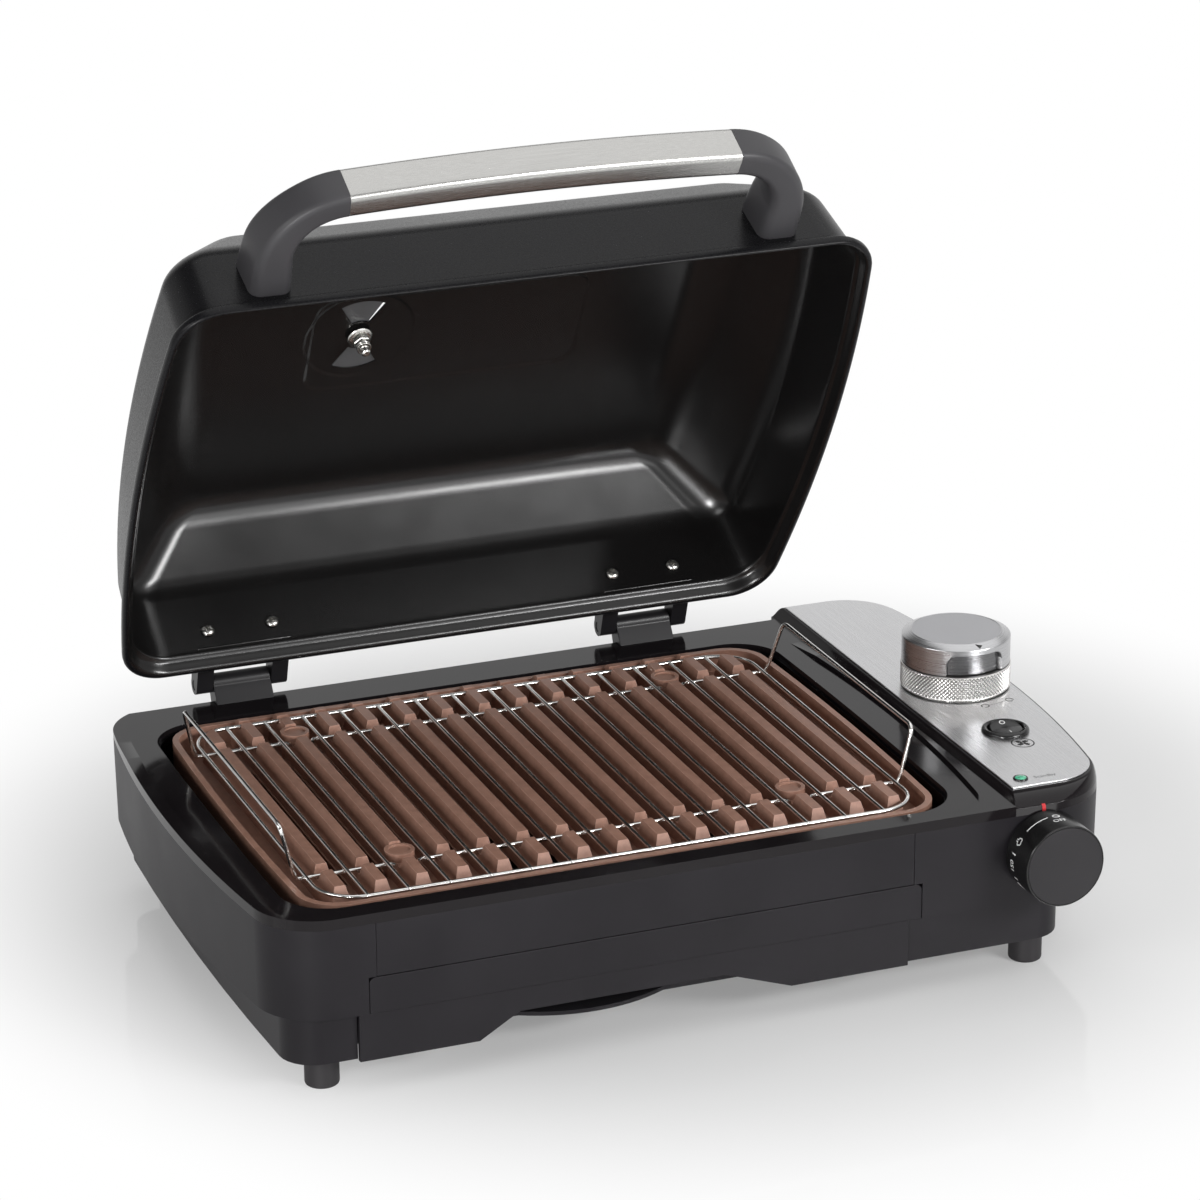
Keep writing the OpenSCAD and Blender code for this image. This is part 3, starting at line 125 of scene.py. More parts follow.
class Finish(Graph):
    """A Principled material with short calls for what feeds it."""

    def __init__(self, name, colour, rough, metal=0.0, **sockets):
        self.mat = bpy.data.materials.new(name)
        self.mat.use_nodes = True
        super().__init__(self.mat.node_tree)
        self.shader = self.tree.nodes["Principled BSDF"]
        self.put("Base Color", colour)
        self.put("Roughness", rough)
        self.put("Metallic", metal)
        for key, value in sockets.items():
            self.put(key.replace("_", " "), value)
        self.place = self.add("ShaderNodeTexCoord").outputs["Object"]
        self.normal = None

    def put(self, socket, value):
        self.feed(self.shader.inputs[socket], value)

    def mapped(self, socket, value):
        """The object's own coordinates, scaled or shifted."""
        node = self.add("ShaderNodeMapping")
        node.inputs[socket].default_value = value
        self.link(self.place, node.inputs["Vector"])
        return node.outputs["Vector"]

    def noise(self, scale, detail=3.0, rough=0.5, at=None):
        node = self.add("ShaderNodeTexNoise")
        for socket, number in (("Scale", scale), ("Detail", detail), ("Roughness", rough)):
            node.inputs[socket].default_value = number
        self.link(at or self.place, node.inputs["Vector"])
        return node.outputs["Fac"]

    def cells(self, scale):
        node = self.add("ShaderNodeTexVoronoi")
        node.inputs["Scale"].default_value = scale
        self.link(self.place, node.inputs["Vector"])
        return node.outputs["Distance"]

    def blend(self, factor, a, b):
        """Colour a where factor is 0 and colour b where it is 1."""
        node = self.add("ShaderNodeMix", data_type="RGBA")
        for number, value in ((0, factor), (6, a), (7, b)):
            self.feed(node.inputs[number], value)
        return node.outputs[2]

    def tint(self, factor, low, high):
        self.put("Base Color", self.blend(factor, low, high))

    def bump(self, height, depth, strength=1.0):
        node = self.add("ShaderNodeBump")
        node.inputs["Distance"].default_value = depth * MM
        node.inputs["Strength"].default_value = strength
        self.link(height, node.inputs["Height"])
        if self.normal is not None:
            self.link(self.normal, node.inputs["Normal"])
        self.normal = node.outputs["Normal"]
        self.put("Normal", self.normal)

    def painted_edge_highlight(self):
        """1 along convex edges, 0 elsewhere, from the bevelled normal; a mask for painting highlights on
        edges.
        """
        bevel = self.add("ShaderNodeBevel", samples=4)
        bevel.inputs["Radius"].default_value = 0.6 * MM
        plain = self.add("ShaderNodeNewGeometry")
        dot = self.vector_value("DOT_PRODUCT", bevel.outputs["Normal"], plain.outputs["Normal"])
        return self.span(dot, 0.80, 0.99, 1.0, 0.0)


def shade(colour, share, plus=0.0):
    return tuple(c * share + plus for c in colour)


def moulded_plastic(name, colour, rough, grain=0.012, shine=0.3):
    """Satin moulded plastic: fine spark-eroded grain and a faint uneven sheen."""
    f = Finish(name, colour, rough, Specular_IOR_Level=shine)
    fine = f.noise(2600, 2, 0.6)
    broad = f.noise(14, 3, 0.55)
    f.tint(f.span(broad, 0.3, 0.7), colour, shade(colour, 1.25, 0.0015))
    f.put("Roughness", f.calc(f.span(broad, 0.3, 0.7, rough - 0.03, rough + 0.03),
                              f.span(fine, 0.35, 0.65, -0.02, 0.02)))
    f.bump(fine, grain, 0.5)
    return f


def gloss_black(name, colour, rough, shine=0.5, uneven=0.05):
    """Polished or enamelled black with slight waviness and dust-fine roughness."""
    f = Finish(name, colour, rough, Specular_IOR_Level=shine)
    waves = f.noise(55, 2, 0.4)
    dust = f.noise(900, 3, 0.7)
    f.put("Roughness", f.calc(f.span(dust, 0.45, 0.8, rough, rough + uneven),
                              f.span(waves, 0.3, 0.7, 0.0, 0.02)))
    f.tint(f.span(dust, 0.55, 0.85), colour, shade(colour, 1.0, 0.003))
    f.bump(waves, 0.05, 0.35)
    return f


def lid_enamel(name, colour, rough):
    """Baked enamel with orange peel and a fine metallic speck."""
    f = Finish(name, colour, rough, Specular_IOR_Level=0.16)
    peel = f.noise(950, 2, 0.5)
    f.tint(f.span(f.cells(2200), 0.05, 0.30, 1.0, 0.0), colour, shade(colour, 1.0, 0.006))
    f.put("Roughness", f.calc(f.span(peel, 0.35, 0.65, rough - 0.03, rough + 0.04),
                              f.span(f.noise(9, 2), 0.3, 0.7, -0.02, 0.02)))
    f.bump(peel, 0.003, 0.55)
    return f


def plate_coating(name):
    """Brown ceramic non-stick over cast aluminium: satin, fine speck, cast unevenness, and a painted
    highlight of lighter brown along convex edges.
    """
    low, high, edge = (0.240, 0.125, 0.088), (0.310, 0.168, 0.122), (0.52, 0.34, 0.27)
    f = Finish(name, low, 0.42, 0.12)
    cast = f.noise(240, 4, 0.6)
    speck = f.noise(3000, 2, 0.7)
    body = f.blend(f.span(cast, 0.3, 0.7), low, high)
    flecked = f.blend(f.span(speck, 0.62, 0.75, 0.0, 0.5), body, edge)
    # painted highlight: lighter brown along the convex edges of the ribs and rim
    f.tint(f.calc(f.painted_edge_highlight(), 0.55, "MULTIPLY"), flecked, edge)
    f.put("Roughness", f.span(cast, 0.3, 0.7, 0.36, 0.48))
    f.bump(cast, 0.10, 0.4)
    f.bump(speck, 0.02, 0.35)
    return f


def brushed(name, colour, rough, along, depth):
    """Steel brushed along one axis: long fine scratches in bump, roughness and tone."""
    pitch, reach, finer = 0.16, 60.0, 3.1
    f = Finish(name, colour, rough, 1.0)
    scale = [1.0 / (pitch * MM)] * 3
    scale["xyz".index(along)] = 1.0 / (reach * MM)
    lines = f.noise(1.0, 4, 0.65, f.mapped("Scale", scale))
    hair = f.noise(1.0, 3, 0.7, f.mapped("Scale", [s * finer for s in scale]))
    f.tint(f.span(lines, 0.35, 0.65), shade(colour, 0.86), colour)
    f.put("Roughness", f.span(hair, 0.3, 0.7, rough - 0.06, rough + 0.08))
    f.bump(f.calc(lines, hair), depth, 0.5)
    return f


def turned(name, colour, rough, depth, painted_shade_cut=None):
    """Lathe-turned aluminium: fine rings round the upright axis of the smoker cup.

    painted_shade_cut (inner radius, outer radius, top) paints shade: it darkens the metal in cuts below the
    top height.
    """
    f = Finish(name, colour, rough, 1.0)
    parts = f.split(f.mapped("Location", (-CUP_X * MM, -(CUP_FRONT + FRONT) * MM, 0.0)))
    radius = f.vector_value("LENGTH", f.joined(parts["X"], parts["Y"]))
    cut = f.noise(5200, 3, 0.7, f.joined(radius, f.calc(parts["Z"], 0.9, "MULTIPLY")))
    metal = f.blend(f.span(cut, 0.35, 0.65), shade(colour, 0.84), colour)
    # painted shade: metal darkened in cuts that lie inside the given radius and below the given top
    if painted_shade_cut:
        inner, outer, top = (v * MM for v in painted_shade_cut)
        deep = f.span(radius, inner, outer, 1.0, 0.0)
        below = f.span(parts["Z"], top - 0.1 * MM, top, 1.0, 0.0)
        metal = f.blend(f.calc(deep, below, "MULTIPLY"), metal, shade(colour, 0.32))
    f.put("Base Color", metal)
    f.put("Roughness", f.span(cut, 0.3, 0.7, rough - 0.05, rough + 0.07))
    f.bump(cut, depth, 0.45)
    return f


def chrome(name, colour, rough):
    f = Finish(name, colour, rough, 1.0)
    smear = f.noise(160, 3, 0.6)
    f.put("Roughness", f.span(smear, 0.35, 0.7, rough, rough + 0.10))
    f.tint(f.span(smear, 0.4, 0.7), colour, shade(colour, 0.88))
    return f


def print_ink(name, colour, rough=0.45):
    f = Finish(name, colour, rough)
    f.put("Roughness", f.span(f.noise(1500, 2), 0.3, 0.7, rough - 0.08, rough + 0.08))
    return f


def heated_steel(name):
    f = Finish(name, (0.10, 0.085, 0.075), 0.5, 0.6)
    bands = f.noise(38, 3, 0.6)
    f.tint(f.span(bands, 0.3, 0.7), (0.050, 0.042, 0.040), (0.16, 0.125, 0.10))
    f.put("Roughness", f.span(bands, 0.3, 0.7, 0.38, 0.58))
    f.bump(f.noise(1400, 2), 0.02, 0.4)
    return f


def ceramic(name):
    light, dark = (0.72, 0.68, 0.60), (0.60, 0.56, 0.49)
    f = Finish(name, light, 0.55)
    f.tint(f.span(f.noise(500, 3), 0.4, 0.7), light, dark)
    f.bump(f.noise(900, 2), 0.04, 0.4)
    return f


def tinted_lens(name):
    f = Finish(name, (0.010, 0.24, 0.12), 0.08, Coat_Weight=0.6, Coat_Roughness=0.03)
    facets = f.cells(700)
    f.tint(f.span(facets, 0.1, 0.6), (0.005, 0.16, 0.08), (0.06, 0.42, 0.24))
    f.bump(facets, 0.15, 0.5)
    return f


housing_plastic = moulded_plastic("housing_plastic", (0.0100, 0.0090, 0.0107), 0.40, 0.004, 0.17)
trim_plastic = moulded_plastic("trim_plastic", (0.0085, 0.0080, 0.0090), 0.36)
bracket_plastic = moulded_plastic("bracket_plastic", (0.0330, 0.0320, 0.0345), 0.42, 0.02)
knob_plastic = moulded_plastic("knob_plastic", (0.0200, 0.0190, 0.0205), 0.50, 0.008, 0.2)
knob_gloss = gloss_black("knob_gloss", (0.0060, 0.0058, 0.0060), 0.20)
dial_metal = moulded_plastic("dial_metal", (0.060, 0.060, 0.062), 0.34)
frame_gloss = gloss_black("frame_gloss", (0.0080, 0.0066, 0.0074), 0.09, 0.24)
basin_gloss = gloss_black("basin_gloss", (0.0050, 0.0045, 0.0054), 0.14, 0.12)
lid_outside = lid_enamel("lid_outside", (0.0055, 0.0054, 0.0062), 0.28)
lid_inside = gloss_black("lid_inside", (0.0048, 0.0045, 0.0045), 0.22, 0.5, 0.02)
plate_brown = plate_coating("plate_coating")
sheet_steel = brushed("sheet_steel", (0.84, 0.84, 0.85), 0.28, "y", 0.0012)
bar_steel = brushed("bar_steel", (0.52, 0.515, 0.50), 0.26, "x", 0.0010)
tray_coat = moulded_plastic("tray_coat", (0.020, 0.021, 0.023), 0.38)
bright_wire = chrome("bright_wire", (0.78, 0.77, 0.75), 0.12)
bright_screw = chrome("bright_screw", (0.62, 0.61, 0.58), 0.22)
# its last numbers paint shade into the finger notch and the underside
turned_cap = turned("turned_cap", (0.56, 0.56, 0.57), 0.28, 0.003, (24.8, 26.7, 118.9))
cap_disc = turned("cap_disc", (0.62, 0.62, 0.64), 0.42, 0.004)
# its last numbers paint shade into the knurl's grooves and the bowl
knurled_metal = turned("knurled_ring", (0.86, 0.845, 0.83), 0.36, 0.0002, (26.6, 27.2, 105.6))
foot_rubber = moulded_plastic("foot_rubber", (0.0180, 0.0165, 0.0180), 0.50, 0.02)
rod_steel = heated_steel("heated_rod")
white_ceramic = ceramic("ceramic")
green_lens = tinted_lens("lens_green")
red_ink = print_ink("red_ink", (0.42, 0.012, 0.016), 0.35)
black_ink = print_ink("black_ink", (0.012, 0.012, 0.012))
white_ink = print_ink("white_ink", (0.78, 0.78, 0.78))
grey_ink = print_ink("grey_ink", (0.20, 0.20, 0.20))


# ---------------------------------------------------------------- outlines
def at(x, front, z):
    """A point given across the body, back from its front face and above the table, in metres."""
    return Vector((x * MM, (front + FRONT) * MM, z * MM))


def arc(cx, cy, r, a0, a1, n):
    steps = [a0 + (a1 - a0) * i / n for i in range(n + 1)]
    return [(cx + r * math.cos(a), cy + r * math.sin(a)) for a in steps]


def arc_deg(cx, cy, r, a0, a1, n):
    return arc(cx, cy, r, math.radians(a0), math.radians(a1), n)


def circle(cx, cy, r, n=64):
    return arc(cx, cy, r, 0.0, 2 * math.pi * (n - 1) / n, n - 1)


def flank(hw, y0, y1, rf, rr, bulge, n_corner=12, n_side=22):
    """Right half of an outline, front to rear: round corners and a side that bulges outward."""
    d = y1 - y0
    big = (d * d / 4 + bulge * bulge) / (2 * bulge)
    cx, cy = hw - big, (y0 + y1) / 2
    fx = cx + math.sqrt((big - rf) ** 2 - (cy - y0 - rf) ** 2)
    rx = cx + math.sqrt((big - rr) ** 2 - (y1 - rr - cy) ** 2)
    af, ar = math.atan2(y0 + rf - cy, fx - cx), math.atan2(y1 - rr - cy, rx - cx)
    side = arc(cx, cy, big, af, ar, n_side)
    return (arc(fx, y0 + rf, rf, -math.pi / 2, af, n_corner) + side[1:-1]
            + arc(rx, y1 - rr, rr, ar, math.pi / 2, n_corner))


def pad(cx, hw, y0, y1, r, bulge, n_corner=12, n_side=22, n_end=8):
    """Closed outline, symmetric about cx, with straight front and rear edges cut into n_end parts."""
    right = flank(hw, y0, y1, r, r, bulge, n_corner, n_side)
    left = [(-x, y) for x, y in reversed(right)]
    rear = [(right[-1][0] + (left[0][0] - right[-1][0]) * i / n_end, y1) for i in range(1, n_end)]
    front = [(left[-1][0] + (right[0][0] - left[-1][0]) * i / n_end, y0) for i in range(1, n_end)]
    return [(cx + x, y) for x, y in right + rear + left + front]


def section(w, h, r, n=7):
    """Rounded rectangle round the origin."""
    u, v = w / 2 - r, h / 2 - r
    corners = ((u, -v, -90), (u, v, 0), (-u, v, 90), (-u, -v, 180))
    return [p for cu, cv, a in corners for p in arc_deg(cu, cv, r, a, a + 90, n)]


def depth_inside(dx, dy, r):
    """How far a point lies inside a rounded rectangle, from its distances past the inner corner."""
    return r - math.hypot(max(dx, 0.0), max(dy, 0.0)) - min(max(dx, dy), 0.0)


def mix(a, b, t):
    return tuple(p + (q - p) * t for p, q in zip(a, b))


def bend(a, b, c, n):
    return [mix(mix(a, b, i / n), mix(b, c, i / n), i / n) for i in range(n + 1)]


def smooth_step(t):
    t = min(max(t, 0.0), 1.0)
    return t * t * (3 - 2 * t)


# ---------------------------------------------------------------- meshes and pieces
def band(bm, low, high, closed=True):
    """Quads between two rings of verts."""
    n = len(low)
    for i in range(n if closed else n - 1):
        j = (i + 1) % n
        bm.faces.new((low[i], low[j], high[j], high[i]))


def skin(bm, loops, closed=True, capped=False):
    """Quads between neighbouring loops of points, with flat ends if capped; returns rings of verts."""
    rings = [[bm.verts.new(p) for p in loop] for loop in loops]
    for low, high in zip(rings, rings[1:]):
        band(bm, low, high, closed)
    if capped:
        bm.faces.new(rings[0])
        bm.faces.new(rings[-1])
    return rings


def fill_between(bm, loops):
    """Flat triangles between an outer and an inner loop of verts."""
    edges = []
    for loop in loops:
        for a, b in zip(loop, loop[1:] + loop[:1]):
            edges.append(bm.edges.get((a, b)) or bm.edges.new((a, b)))
    bmesh.ops.triangle_fill(bm, edges=edges, use_beauty=True)


def smooth_by_angle(mesh, degrees):
    bm = bmesh.new()
    bm.from_mesh(mesh)
    limit = math.radians(degrees)
    for face in bm.faces:
        face.smooth = True
    for edge in bm.edges:
        edge.smooth = len(edge.link_faces) != 2 or edge.calc_face_angle(0.0) < limit
    bm.to_mesh(mesh)
    bm.free()


def finished_mesh(name, bm, degrees=40.0, turn=None):
    bmesh.ops.recalc_face_normals(bm, faces=bm.faces)
    if turn is not None:
        bmesh.ops.transform(bm, matrix=turn, verts=bm.verts)
    mesh = bpy.data.meshes.new(name)
    bm.to_mesh(mesh)
    bm.free()
    smooth_by_angle(mesh, degrees)
    return mesh


def cleaned(mesh, shortest, flat=0.0):
    """Joins double verts and drops edges below a length; flat joins faces within an angle in degrees."""
    bm = bmesh.new()
    bm.from_mesh(mesh)
    bmesh.ops.remove_doubles(bm, verts=bm.verts, dist=2e-6)
    bmesh.ops.dissolve_degenerate(bm, edges=bm.edges, dist=shortest)
    if flat:
        bmesh.ops.dissolve_limit(bm, angle_limit=math.radians(flat), verts=bm.verts, edges=bm.edges)
    bm.to_mesh(mesh)
    bm.free()


def linked(name, data):
    obj = bpy.data.objects.new(name, data)
    bpy.context.scene.collection.objects.link(obj)
    return obj


def piece(name, data, finish, node, stands_for=True):
    """A visible piece in the body of a CAD node, with one finish, which it stands for unless told otherwise.
    """
    obj = linked(name, data)
    data.materials.clear()
    data.materials.append(finish.mat)
    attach(obj, BODY_OF[node])
    if stands_for:
        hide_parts(node)
    return obj


def apply_modifiers(obj):
    graph = bpy.context.evaluated_depsgraph_get()
    mesh = bpy.data.meshes.new_from_object(obj.evaluated_get(graph))
    old = obj.data
    obj.modifiers.clear()
    obj.data = mesh
    bpy.data.meshes.remove(old)


def combine(target, tools, how="DIFFERENCE"):
    """Cuts solids out of the target, or joins them to it, and removes them."""
    for tool in tools:
        mod = target.modifiers.new("cut", "BOOLEAN")
        mod.operation, mod.object, mod.solver = how, tool, "EXACT"
        apply_modifiers(target)
        bpy.data.objects.remove(tool)


def round_edges(obj, edge, segments):
    """Rounds every edge that turns by more than 28 degrees, or only shades by angle if edge is 0."""
    corner = 28.0
    smooth_by_angle(obj.data, 180.0 if edge > 0 else corner)
    if edge <= 0:
        return
    mod = obj.modifiers.new("edges", "BEVEL")
    mod.width = edge * MM
    mod.segments = segments
    mod.limit_method = "ANGLE"
    mod.angle_limit = math.radians(corner)
    mod.use_clamp_overlap = True
    mod.harden_normals = False
    mod.miter_outer = "MITER_ARC"
    weighted = obj.modifiers.new("normals", "WEIGHTED_NORMAL")
    weighted.keep_sharp = False
    weighted.weight = 80


def settle(solid, name, node, finish, edge):
    """Makes a built solid the visible piece of a CAD node."""
    mesh = solid.data
    bpy.data.objects.remove(solid)
    mesh.name = name
    cleaned(mesh, 2e-6)
    round_edges(piece(name, mesh, finish, node), edge, 3)


def dress(node, finish, edge):
    """A finer copy of a CAD node: facets joined, edges rounded, curved faces shaded smooth."""
    mesh = nodes[node].data.copy()
    cleaned(mesh, 1e-6, 0.6)
    round_edges(piece(node + "_dressed", mesh, finish, node), edge, 2)


def wire_curve(name, lines, width, finish, node):
    """Drawn wire along each line of points; a line is (points, closed)."""
    curve = bpy.data.curves.new(name, "CURVE")
    curve.dimensions = "3D"
    curve.bevel_depth = width / 2 * MM
    curve.bevel_resolution = 5
    curve.use_fill_caps = True
    for points, closed in lines:
        spline = curve.splines.new("POLY")
        spline.points.add(len(points) - 1)
        for target, p in zip(spline.points, points):
            target.co = (*p, 1.0)
        spline.use_cyclic_u = closed
        spline.use_smooth = True
    piece(name, curve, finish, node)


# ---------------------------------------------------------------- lid
LID_OPEN, HINGE = 60.0, at(0.0, 279.3, 95.1)
LID_TURN = (Matrix.Translation(HINGE) @ Matrix.Rotation(math.radians(-LID_OPEN), 4, "X")
            @ Matrix.Translation(-HINGE))
LID_FRONT, LID_REAR, LID_LOW, LID_SHEET = 4.5, 260.7, 87.0, 1.2
# height above the rim, half width, front inset, rear inset, corner radius, bulge of the sides
LIP = (0.0, 180.0, 0.0, 0.0, 23.0, 9.5)
WALL_LOW = (5.0, 175.0, 2.6, 6.0, 22.0, 9.5)
WALL_TOP = (47.0, 172.0, 7.8, 9.5, 21.0, 9.5)
CROWN = (81.5, 134.5, 33.7, 31.5, 16.0, 4.0)
CROWN_IN = (81.5, 121.0, 44.5, 41.0, 10.0, 3.0)
FOLD_BLEND, CROWN_BLEND = 6.0, 10.0
VENT_X, VENT_FRONT = GRILL_X - 46.0, LID_FRONT + 113.9


def lid_loop(row, inward=0.0, lift=0.0):
    z, hw, front, rear, r, bulge = row
    outline = pad(GRILL_X, hw - inward, LID_FRONT + front + inward, LID_REAR - rear - inward,
                  r - inward, bulge)
    return [at(x, y, LID_LOW + z + lift) for x, y in outline]


def lid_rows():
    """Rows of the wall from near the lip over the rounded fold and the shoulder to the crown."""
    cuts = 12
    fold = bend(mix(WALL_TOP, WALL_LOW, FOLD_BLEND / (WALL_TOP[0] - WALL_LOW[0])), WALL_TOP,
                mix(WALL_TOP, CROWN, FOLD_BLEND / (CROWN[0] - WALL_TOP[0])), cuts)
    top = bend(mix(CROWN, WALL_TOP, CROWN_BLEND / (CROWN[0] - WALL_TOP[0])), CROWN, CROWN_IN, cuts)
    return [mix(WALL_LOW, WALL_TOP, 0.12)] + fold + top


def crown_height(x, y):
    """Emboss of the crown: a raised panel and a round pad under the vent, with soft edges."""
    emboss, soft, pad_r = 0.60, 0.8, 28.0
    hx, hy, r = 70.5, 30.5, 10.0
    panel = depth_inside(abs(x - GRILL_X) - hx + r, abs(y - VENT_FRONT - 4.5) - hy + r, r)
    ring = pad_r - math.hypot(x - VENT_X, y - VENT_FRONT)
    return emboss * (smooth_step(0.5 + panel / soft) + smooth_step(0.5 + ring / soft))


def crown_sheet(bm, ring, z_flat):
    """Flat crown inside the ring of verts, with a fine grid where it is embossed."""
    pitch = 0.9
    x0, x1 = GRILL_X - 77.0, GRILL_X + 73.5
    y0, y1 = VENT_FRONT - 30.5, VENT_FRONT + 37.5
    nx, ny = int((x1 - x0) / pitch), int((y1 - y0) / pitch)

    def vert(i, j):
        x, y = x0 + (x1 - x0) * i / nx, y0 + (y1 - y0) * j / ny
        edge = i in (0, nx) or j in (0, ny)
        return bm.verts.new(at(x, y, z_flat + (0.0 if edge else crown_height(x, y))))

    grid = [[vert(i, j) for i in range(nx + 1)] for j in range(ny + 1)]
    for low, high in zip(grid, grid[1:]):
        band(bm, low, high, False)
    around = (grid[0][:-1] + [row[-1] for row in grid[:-1]] + grid[-1][:0:-1]
              + [row[0] for row in grid[:0:-1]])
    fill_between(bm, (ring, around))


def vent_cutter():
    """Two sectors through the crown."""
    inner, outer, half, reach = 9.0, 23.0, 30.0, 6.0
    bm = bmesh.new()
    for middle in (90.0, 270.0):
        outline = (arc_deg(VENT_X, VENT_FRONT, outer, middle - half, middle + half, 16)
                   + arc_deg(VENT_X, VENT_FRONT, inner, middle + half, middle - half, 8))
        z = LID_LOW + CROWN[0]
        skin(bm, [[at(x, y, z + side) for x, y in outline] for side in (-reach, reach)], capped=True)
    return linked("vent_cutter", finished_mesh("vent_cutter", bm))


def lid_shell():
    bm = bmesh.new()
    rows = lid_rows()
    # rolled rim, outside: height and share of the way out to the lip
    rolled = [(8.4, 0.02), (7.4, 0.05), (6.6, 0.12), (6.0, 0.25), (5.6, 0.45), (5.3, 0.70), (4.8, 0.88),
              (4.1, 0.97), (3.2, 1.0), (1.6, 1.0), (0.7, 0.95), (0.2, 0.84), (0.0, 0.70)]
    # rim from below: bead, flat band and the step up to the wall
    under = [(0.05, 0.58), (0.35, 0.46), (0.9, 0.38), (1.8, 0.30), (3.2, 0.20), (4.6, 0.10), (5.4, 0.02)]
    step_up = [(6.0, -0.10), (6.4, -0.17), (6.9, -0.215), (7.6, -0.235)]
    out = [lid_loop(row) for row in reversed(rows)]
    for z, t in rolled + under + step_up:
        base = mix(WALL_LOW, WALL_TOP, max(z - WALL_LOW[0], 0.0) / (WALL_TOP[0] - WALL_LOW[0]))
        out.append(lid_loop((z,) + mix(base, LIP, t)[1:]))
    inner = [lid_loop(row, LID_SHEET, -LID_SHEET if row[0] > 20 else 0.0) for row in rows]
    rings = skin(bm, out + inner)
    crown_sheet(bm, rings[0], LID_LOW + CROWN[0])
    crown_sheet(bm, rings[-1], LID_LOW + CROWN[0] - LID_SHEET)
    shell = piece("lid_shell_enamel", finished_mesh("lid_shell_enamel", bm), lid_outside, "lid_shell")
    combine(shell, [vent_cutter()])
    mesh = shell.data
    mesh.materials.clear()
    mesh.materials.append(lid_outside.mat)
    mesh.materials.append(lid_inside.mat)
    paint_inside(mesh)
    mesh.transform(LID_TURN)
    smooth_by_angle(mesh, 38.0)


def paint_inside(mesh):
    """Second finish on the faces of the closed lid that look into the cavity, apart from the rim's side."""
    middle = at(GRILL_X, (LID_FRONT + LID_REAR) / 2, LID_LOW + 20.0)
    rim_top = (LID_LOW + 8.2) * MM
    for face in mesh.polygons:
        inward = (middle - face.center).dot(face.normal) > 0
        face.material_index = int(inward and (face.center.z >= rim_top or face.normal.z < 0.35))


# ---------------------------------------------------------------- housing, frame, sheet and basin
def body_plan(side, y_in):
    """Outline of the body at an inset from its sides and ends."""
    y0, y1, rear = y_in, BODY_DEPTH - y_in, CORNER_REAR - y_in
    right = flank(BODY_HALF - side, y0, y1, CORNER_RIGHT - y_in, rear, BOW_RIGHT, 18, 26)
    left = flank(BODY_HALF - side, y0, y1, CORNER_LEFT - y_in, rear, BOW_LEFT, 18, 26)
    return right + [(-x, y) for x, y in reversed(left)]


def console_plan(x0, side, y0, y1):
    bulge = BOW_RIGHT * ((y1 - y0) / BODY_DEPTH) ** 2
    right = flank(BODY_HALF - side, y0, y1, CORNER_RIGHT - y0, CORNER_REAR - side, bulge, 18, 26)
    return [(x0, y0)] + right + [(x0, y1)]


def basin_plan(out=0.0, rounder=0.0):
    """Outline of the basin's mouth, grown outward."""
    return pad(GRILL_X, BASIN_HALF + out, BASIN_FRONT - out, BASIN_REAR + out, BASIN_R + rounder, 1.5, 16)


def solid(loops):
    """Closed solid through loops of points, flat at both ends."""
    bm = bmesh.new()
    skin(bm, loops, capped=True)
    return linked("solid", finished_mesh("solid", bm, 180.0))


def loft(rows):
    """Solid through rows of (outline, height)."""
    return solid([[at(x, y, z) for x, y in outline] for outline, z in rows])


def prism(outline, z0, z1):
    return loft([(outline, z0), (outline, z1)])


def block(x0, x1, y0, y1, z0, z1):
    return prism([(x0, y0), (x1, y0), (x1, y1), (x0, y1)], z0, z1)


def across(outline, x0, x1):
    """Solid with one (front, height) outline from x0 to x1."""
    return solid([[at(x, y, z) for y, z in outline] for x in (x0, x1)])


def level(x, z, r, y0, y1):
    """Round bar from y0 to y1."""
    return solid([[at(px, y, pz) for px, pz in circle(x, z, r)] for y in (y0, y1)])


def console_holes(z0, z1):
    return [prism(circle(x, y, r), z0, z1) for x, y, r in
            ((CUP_X, CUP_FRONT, CUP_HOLE), (ROCKER_X, ROCKER_FRONT, ROCKER_HOLE),
             (LENS_X, LENS_FRONT, LENS_HOLE))]


def housing():
    wall, taper, past, gap = 2.5, 0.6, 1.0, 0.3
    tray_x0, tray_x1, panel_half, front, rear = -166.2, 104.9, 131.5, -5.0, BODY_DEPTH + past
    vent_x, vent_z, gland_x = 143.5, (48.7, 76.7), 112.0
    shell = loft([(body_plan(taper, 0.0), Z_STEP), (body_plan(0.0, 0.0), Z_HOUSE)])
    inside = loft([(body_plan(taper + wall, wall), Z_STEP + wall),
                   (body_plan(wall, wall), Z_HOUSE + past)])
    floor_hole = prism(pad(-10.0, 193.6, 5.5, 267.5, 14.5, 4.0), Z_STEP - past, Z_STEP + wall + past)
    tray_slot = block(tray_x0, tray_x1, front, 18.0, Z_STEP - past, Z_STRIP + gap)
    panel_slot = block(GRILL_X - panel_half, GRILL_X + panel_half, front, 8.0, Z_STRIP, Z_HOUSE + past)
    bushing = level(KNOB_X, KNOB_Z, 4.6, -2.0, 9.0)
    vents = [block(vent_x + 6 * i, vent_x + 3 + 6 * i, rear - 7.0, rear, *vent_z) for i in range(6)]
    gland = level(gland_x, Z_HOUSE - 24.0, 4.55, rear - 7.0, rear)
    combine(shell, [inside, floor_hole, tray_slot, panel_slot, bushing, gland] + vents)
    settle(shell, "housing_shell", "housing", housing_plastic, 0.55)


